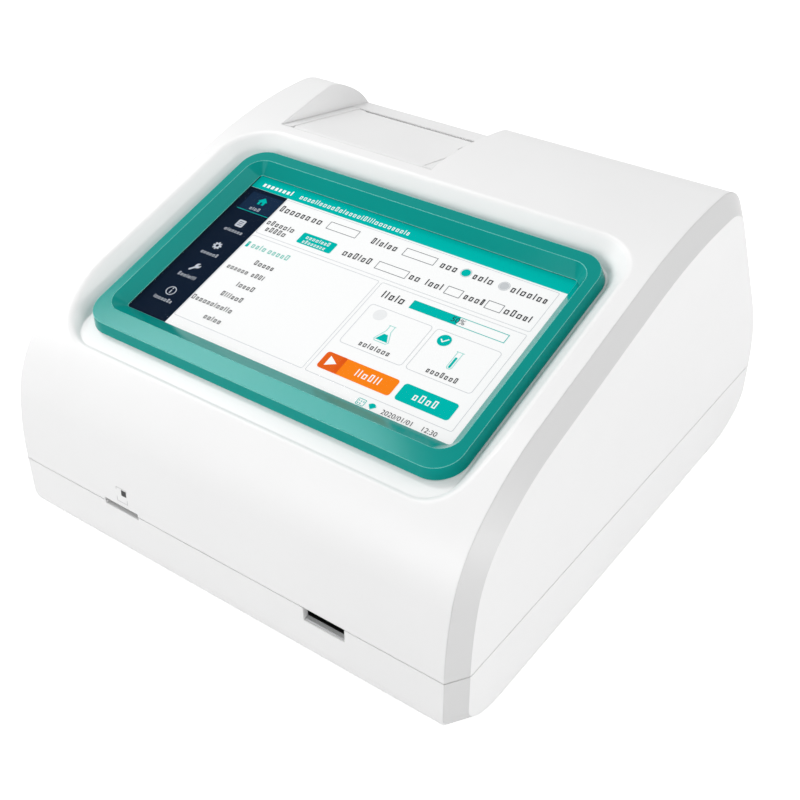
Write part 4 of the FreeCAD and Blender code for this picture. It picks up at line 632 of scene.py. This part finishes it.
boxLook = {"colour": "box", "level": 2, "pen": 0.3,
           "fields": ((45.3, 60.4, 9.8, 14.2), (83.5, 98.5, 9.8, 14.2), (77.7, 92.4, 20.7, 25.0),
                      (110.4, 117.5, 20.7, 25.0), (128.5, 135.6, 20.7, 25.0))}
fields = layer("fieldBoxes", boxLook)
for field in boxLook["fields"]:
    fields.outline(*field, boxLook["pen"])

dotLook = {"colour": "grey", "level": 3, "free": (129.8, 12.1, 1.9),
           "rings": ((112.65, 12.1, 2.35, 0.3), (129.8, 12.1, 2.35, 0.3))}
dots = layer("greyDots", dotLook)
dots.disc(*dotLook["free"])
for ring in dotLook["rings"]:
    dots.ring(*ring)

inkLook = {
    "colour": "ink", "level": 4,
    "words": ((20.2, 36.2, 10.2, 13.7), (37.2, 43.6, 10.2, 13.7), (68.0, 80.3, 10.4, 13.8),
              (101.3, 108.5, 10.4, 13.8), (116.3, 126.2, 10.4, 13.8), (133.2, 148.4, 10.4, 13.8),
              (20.2, 35.2, 19.6, 22.4), (22.2, 33.0, 23.2, 26.0), (61.2, 75.8, 21.0, 24.3),
              (93.8, 99.0, 21.0, 24.3), (101.4, 109.0, 21.0, 24.3), (119.0, 127.4, 21.2, 24.4),
              (136.8, 149.5, 21.2, 24.5), (89.7, 100.6, 33.3, 37.0), (31.0, 41.0, 41.5, 44.1),
              (21.5, 33.0, 47.8, 50.2), (34.4, 41.0, 47.8, 50.2), (32.3, 41.0, 54.5, 57.0),
              (29.6, 41.0, 61.2, 63.7), (19.6, 41.0, 67.7, 70.2), (31.6, 41.0, 74.2, 76.7),
              (96.5, 110.0, 58.8, 61.3), (126.8, 139.7, 58.8, 61.3)),
    "digits": (("2020/01/01", 123.2, 84.7, 3.0), ("12:30", 140.2, 84.7, 3.0)),
}
ink = layer("words", inkLook)
for word in inkLook["words"]:
    ink.word(*word)
for digits in inkLook["digits"]:
    ink.digits(*digits)

countLook = {"colour": "deep", "level": 5, "digits": ("50%", 120.9, 36.1, 3.6)}
layer("progressCount", countLook).digits(*countLook["digits"])

headingLook = {"colour": "heading", "level": 4, "words": ((23.2, 30.8, 33.7, 36.6), (32.0, 43.8, 33.7, 36.6)),
               "sign": (20.3, 21.7, 33.8, 35.2, 0.3)}
heading = layer("heading", headingLook)
for word in headingLook["words"]:
    heading.word(*word)
heading.box(*headingLook["sign"])

startLook = {"colour": "orange", "level": 3, "key": (88.3, 121.3, 68.7, 76.9, 1.4)}
layer("startKey", startLook).box(*startLook["key"])

endLook = {"colour": "amber", "level": 4, "round": (88.3, 97.5, 68.7, 76.9, 1.4),
           "square": (95.5, 97.5, 68.7, 76.9)}
keyEnd = layer("startKeyEnd", endLook)
keyEnd.box(*endLook["round"])
keyEnd.box(*endLook["square"])

vesselLook = {
    "colour": "aqua", "level": 2, "pen": 0.3,
    "lines": (((101.6, 47.9), (104.6, 47.9)),
              ((102.0, 47.9), (102.0, 50.8), (99.8, 55.6), (100.5, 56.6), (105.7, 56.6), (106.4, 55.6),
               (104.2, 50.8), (104.2, 47.9)),
              ((131.8, 47.9), (135.0, 47.9)),
              ((132.3, 47.9), (132.3, 55.6), (132.8, 56.4), (134.0, 56.4), (134.5, 55.6), (134.5, 47.9))),
}
vessels = layer("vessels", vesselLook)
for path in vesselLook["lines"]:
    vessels.stroke(path, vesselLook["pen"])

whiteLook = {
    "colour": "white", "level": 5, "arrow": ((90.8, 70.3), (95.0, 72.8), (90.8, 75.2)),
    "words": ((104.2, 115.0, 71.0, 74.4), (129.7, 140.3, 71.0, 74.4), (41.5, 53.5, 20.8, 22.8),
              (41.5, 53.5, 23.5, 25.4), (23.5, 79.7, 1.4, 4.0)),
    "tick": ((123.3, 45.4), (124.3, 46.4), (126.0, 44.5)), "tickPen": 0.5,
    "lead": (3.2, 20.4, 1.3, 4.0), "leadPen": 0.24,
}
marks = layer("keyMarks", whiteLook)
marks.shape(whiteLook["arrow"])
for word in whiteLook["words"]:
    marks.word(*word)
marks.stroke(whiteLook["tick"], whiteLook["tickPen"])
marks.word(*whiteLook["lead"], whiteLook["leadPen"])

for made in layers:
    made.make()
print("picture on the display")


# printed mark over the narrow slot: a card with its chip, laid on the curved front

cardMark = {"card": (-50.6, -44.8, 32.5, 39.5), "chip": (-47.8, -45.1, 36.15, 38.9), "pen": 0.22, "proud": 0.03,
            "cardTone": srgb(176, 177, 178), "chipTone": srgb(40, 40, 42)}
printing = {"grain": 0.4, "tones": (0.92, 1.08), "roughness": 0.55, "spread": 0.1}


def onFront(x, z):                                      # point just in front of the housing, from x and z in mm
    housing = nodes["upper_housing"]
    toLocal = housing.matrix_world.inverted()
    start, way = toLocal @ Vector((x * mm, -1, z * mm)), toLocal.to_3x3() @ Vector((0, 1, 0))
    found, spot = housing.ray_cast(start, way)[:2]
    if not found:
        raise RuntimeError("no front surface at %.1f, %.1f" % (x, z))
    return housing.matrix_world @ spot - Vector((0, cardMark["proud"] * mm, 0))


def printedInk(name, colour):
    finish = Finish(name)
    grain = finish.noise(printing["grain"], 2)
    colour = finish.tones(grain, colour, *printing["tones"])
    return finish.done(finish.surface(Base_Color=colour,
                                      Roughness=printing["roughness"] + grain * printing["spread"]))


def printMark(name, boxes, tone):
    points, faces = [], []
    for x0, x1, z0, z1 in boxes:
        first = len(points)
        points += [onFront(x, z) for x, z in ((x0, z0), (x1, z0), (x1, z1), (x0, z1))]
        faces.append(tuple(range(first, first + 4)))
    mesh = bpy.data.meshes.new(name)
    mesh.from_pydata(points, [], faces)
    mesh.materials.append(printedInk(name + "Ink", tone))
    piece = bpy.data.objects.new(name, mesh)
    bpy.context.scene.collection.objects.link(piece)
    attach(piece, "case")


left, right, low, high = cardMark["card"]
pen = cardMark["pen"]
cardLines = ((left, right, low, low + pen), (left, right, high - pen, high),
             (left, left + pen, low + pen, high - pen), (right - pen, right, low + pen, high - pen))
printMark("mark_card", cardLines, cardMark["cardTone"])
printMark("mark_chip", (cardMark["chip"],), cardMark["chipTone"])
print("mark on the front")


# stage, light and camera

stage = {"wide": 4.0, "colour": neutral(0.55), "glow": 0.80, "worldFill": 0.37, "aim": (0, 0, 0.07)}
lamps = {
    "keyPanel": {"place": (-1.04, 0.17, 1.51), "size": (0.28, 0.66), "roll": 19, "power": 8.2},
    "leftPanel": {"place": (-1.3, -0.45, 0.8), "size": (0.9, 0.9), "roll": 0, "power": 7.8},
    "rightPanel": {"place": (1.0, 0.6, 1.1), "size": (0.9, 0.9), "roll": 0, "power": 5.7},
    "frontPanel": {"place": (-0.2, -1.3, 0.35), "size": (0.8, 0.8), "roll": 0, "power": 6.4},
    "sidePanel": {"place": (1.3, -0.25, 0.12), "size": (0.5, 0.5), "roll": 0, "power": 7.2},
}
mainCamera = {"place": (0.25548, -0.35749, 0.34250), "pitch": 35.405, "azimuth": 35.99, "lens": 55.08,
              "film": 36.0}


def makeFloor(look):
    mesh = bpy.data.meshes.new("floor")
    half = look["wide"] / 2
    corners = [(-half, -half, 0), (half, -half, 0), (half, half, 0), (-half, half, 0)]
    mesh.from_pydata(corners, [], [(0, 1, 2, 3)])
    finish = Finish("paleFloor")
    strength = finish.seen() * look["glow"]
    matt = finish.node("ShaderNodeBsdfDiffuse", None, {"Color": (*look["colour"], 1)})
    glow = finish.node("ShaderNodeEmission", None, {"Color": (1, 1, 1, 1), "Strength": strength})
    mesh.materials.append(finish.done(finish.node("ShaderNodeAddShader", None, {0: matt, 1: glow})))
    floor = bpy.data.objects.new("floor", mesh)
    bpy.context.scene.collection.objects.link(floor)


def makeWorld(look):                                    # white where it is seen, dimmer where it only lights
    world = bpy.data.worlds.new("studio")
    bpy.context.scene.world = world
    finish = Finish("studio", world)
    strength = finish.node("ShaderNodeMapRange", None, {0: finish.seen(), 3: look["worldFill"], 4: 1.0})
    finish.done(finish.node("ShaderNodeBackground", None, {"Color": (1, 1, 1, 1), "Strength": strength}))


def hold(name, content, place, turn):
    holder = bpy.data.objects.new(name, content)
    holder.location = place
    holder.rotation_mode = "QUATERNION"
    holder.rotation_quaternion = turn
    bpy.context.scene.collection.objects.link(holder)
    return holder


def makeLamp(name, look):
    lamp = bpy.data.lights.new(name, "AREA")
    lamp.shape, lamp.energy = "ELLIPSE", look["power"]
    lamp.size, lamp.size_y = look["size"]
    facing = (Vector(look["place"]) - Vector(stage["aim"])).to_track_quat("Z", "Y")
    hold(name, lamp, look["place"], facing @ Quaternion((0, 0, 1), math.radians(look["roll"])))


def makeCamera(look):
    camera = bpy.data.cameras.new("mainCamera")
    camera.lens, camera.sensor_width = look["lens"], look["film"]
    pitch, azimuth = math.radians(look["pitch"]), math.radians(look["azimuth"])
    back = Vector((math.sin(azimuth) * math.cos(pitch), -math.cos(azimuth) * math.cos(pitch), math.sin(pitch)))
    bpy.context.scene.camera = hold("mainCamera", camera, look["place"], back.to_track_quat("Z", "Y"))


makeFloor(stage)
makeWorld(stage)
for name, look in lamps.items():
    makeLamp(name, look)
makeCamera(mainCamera)
bpy.context.scene.view_settings.view_transform = "Standard"
print("stage, light and camera")
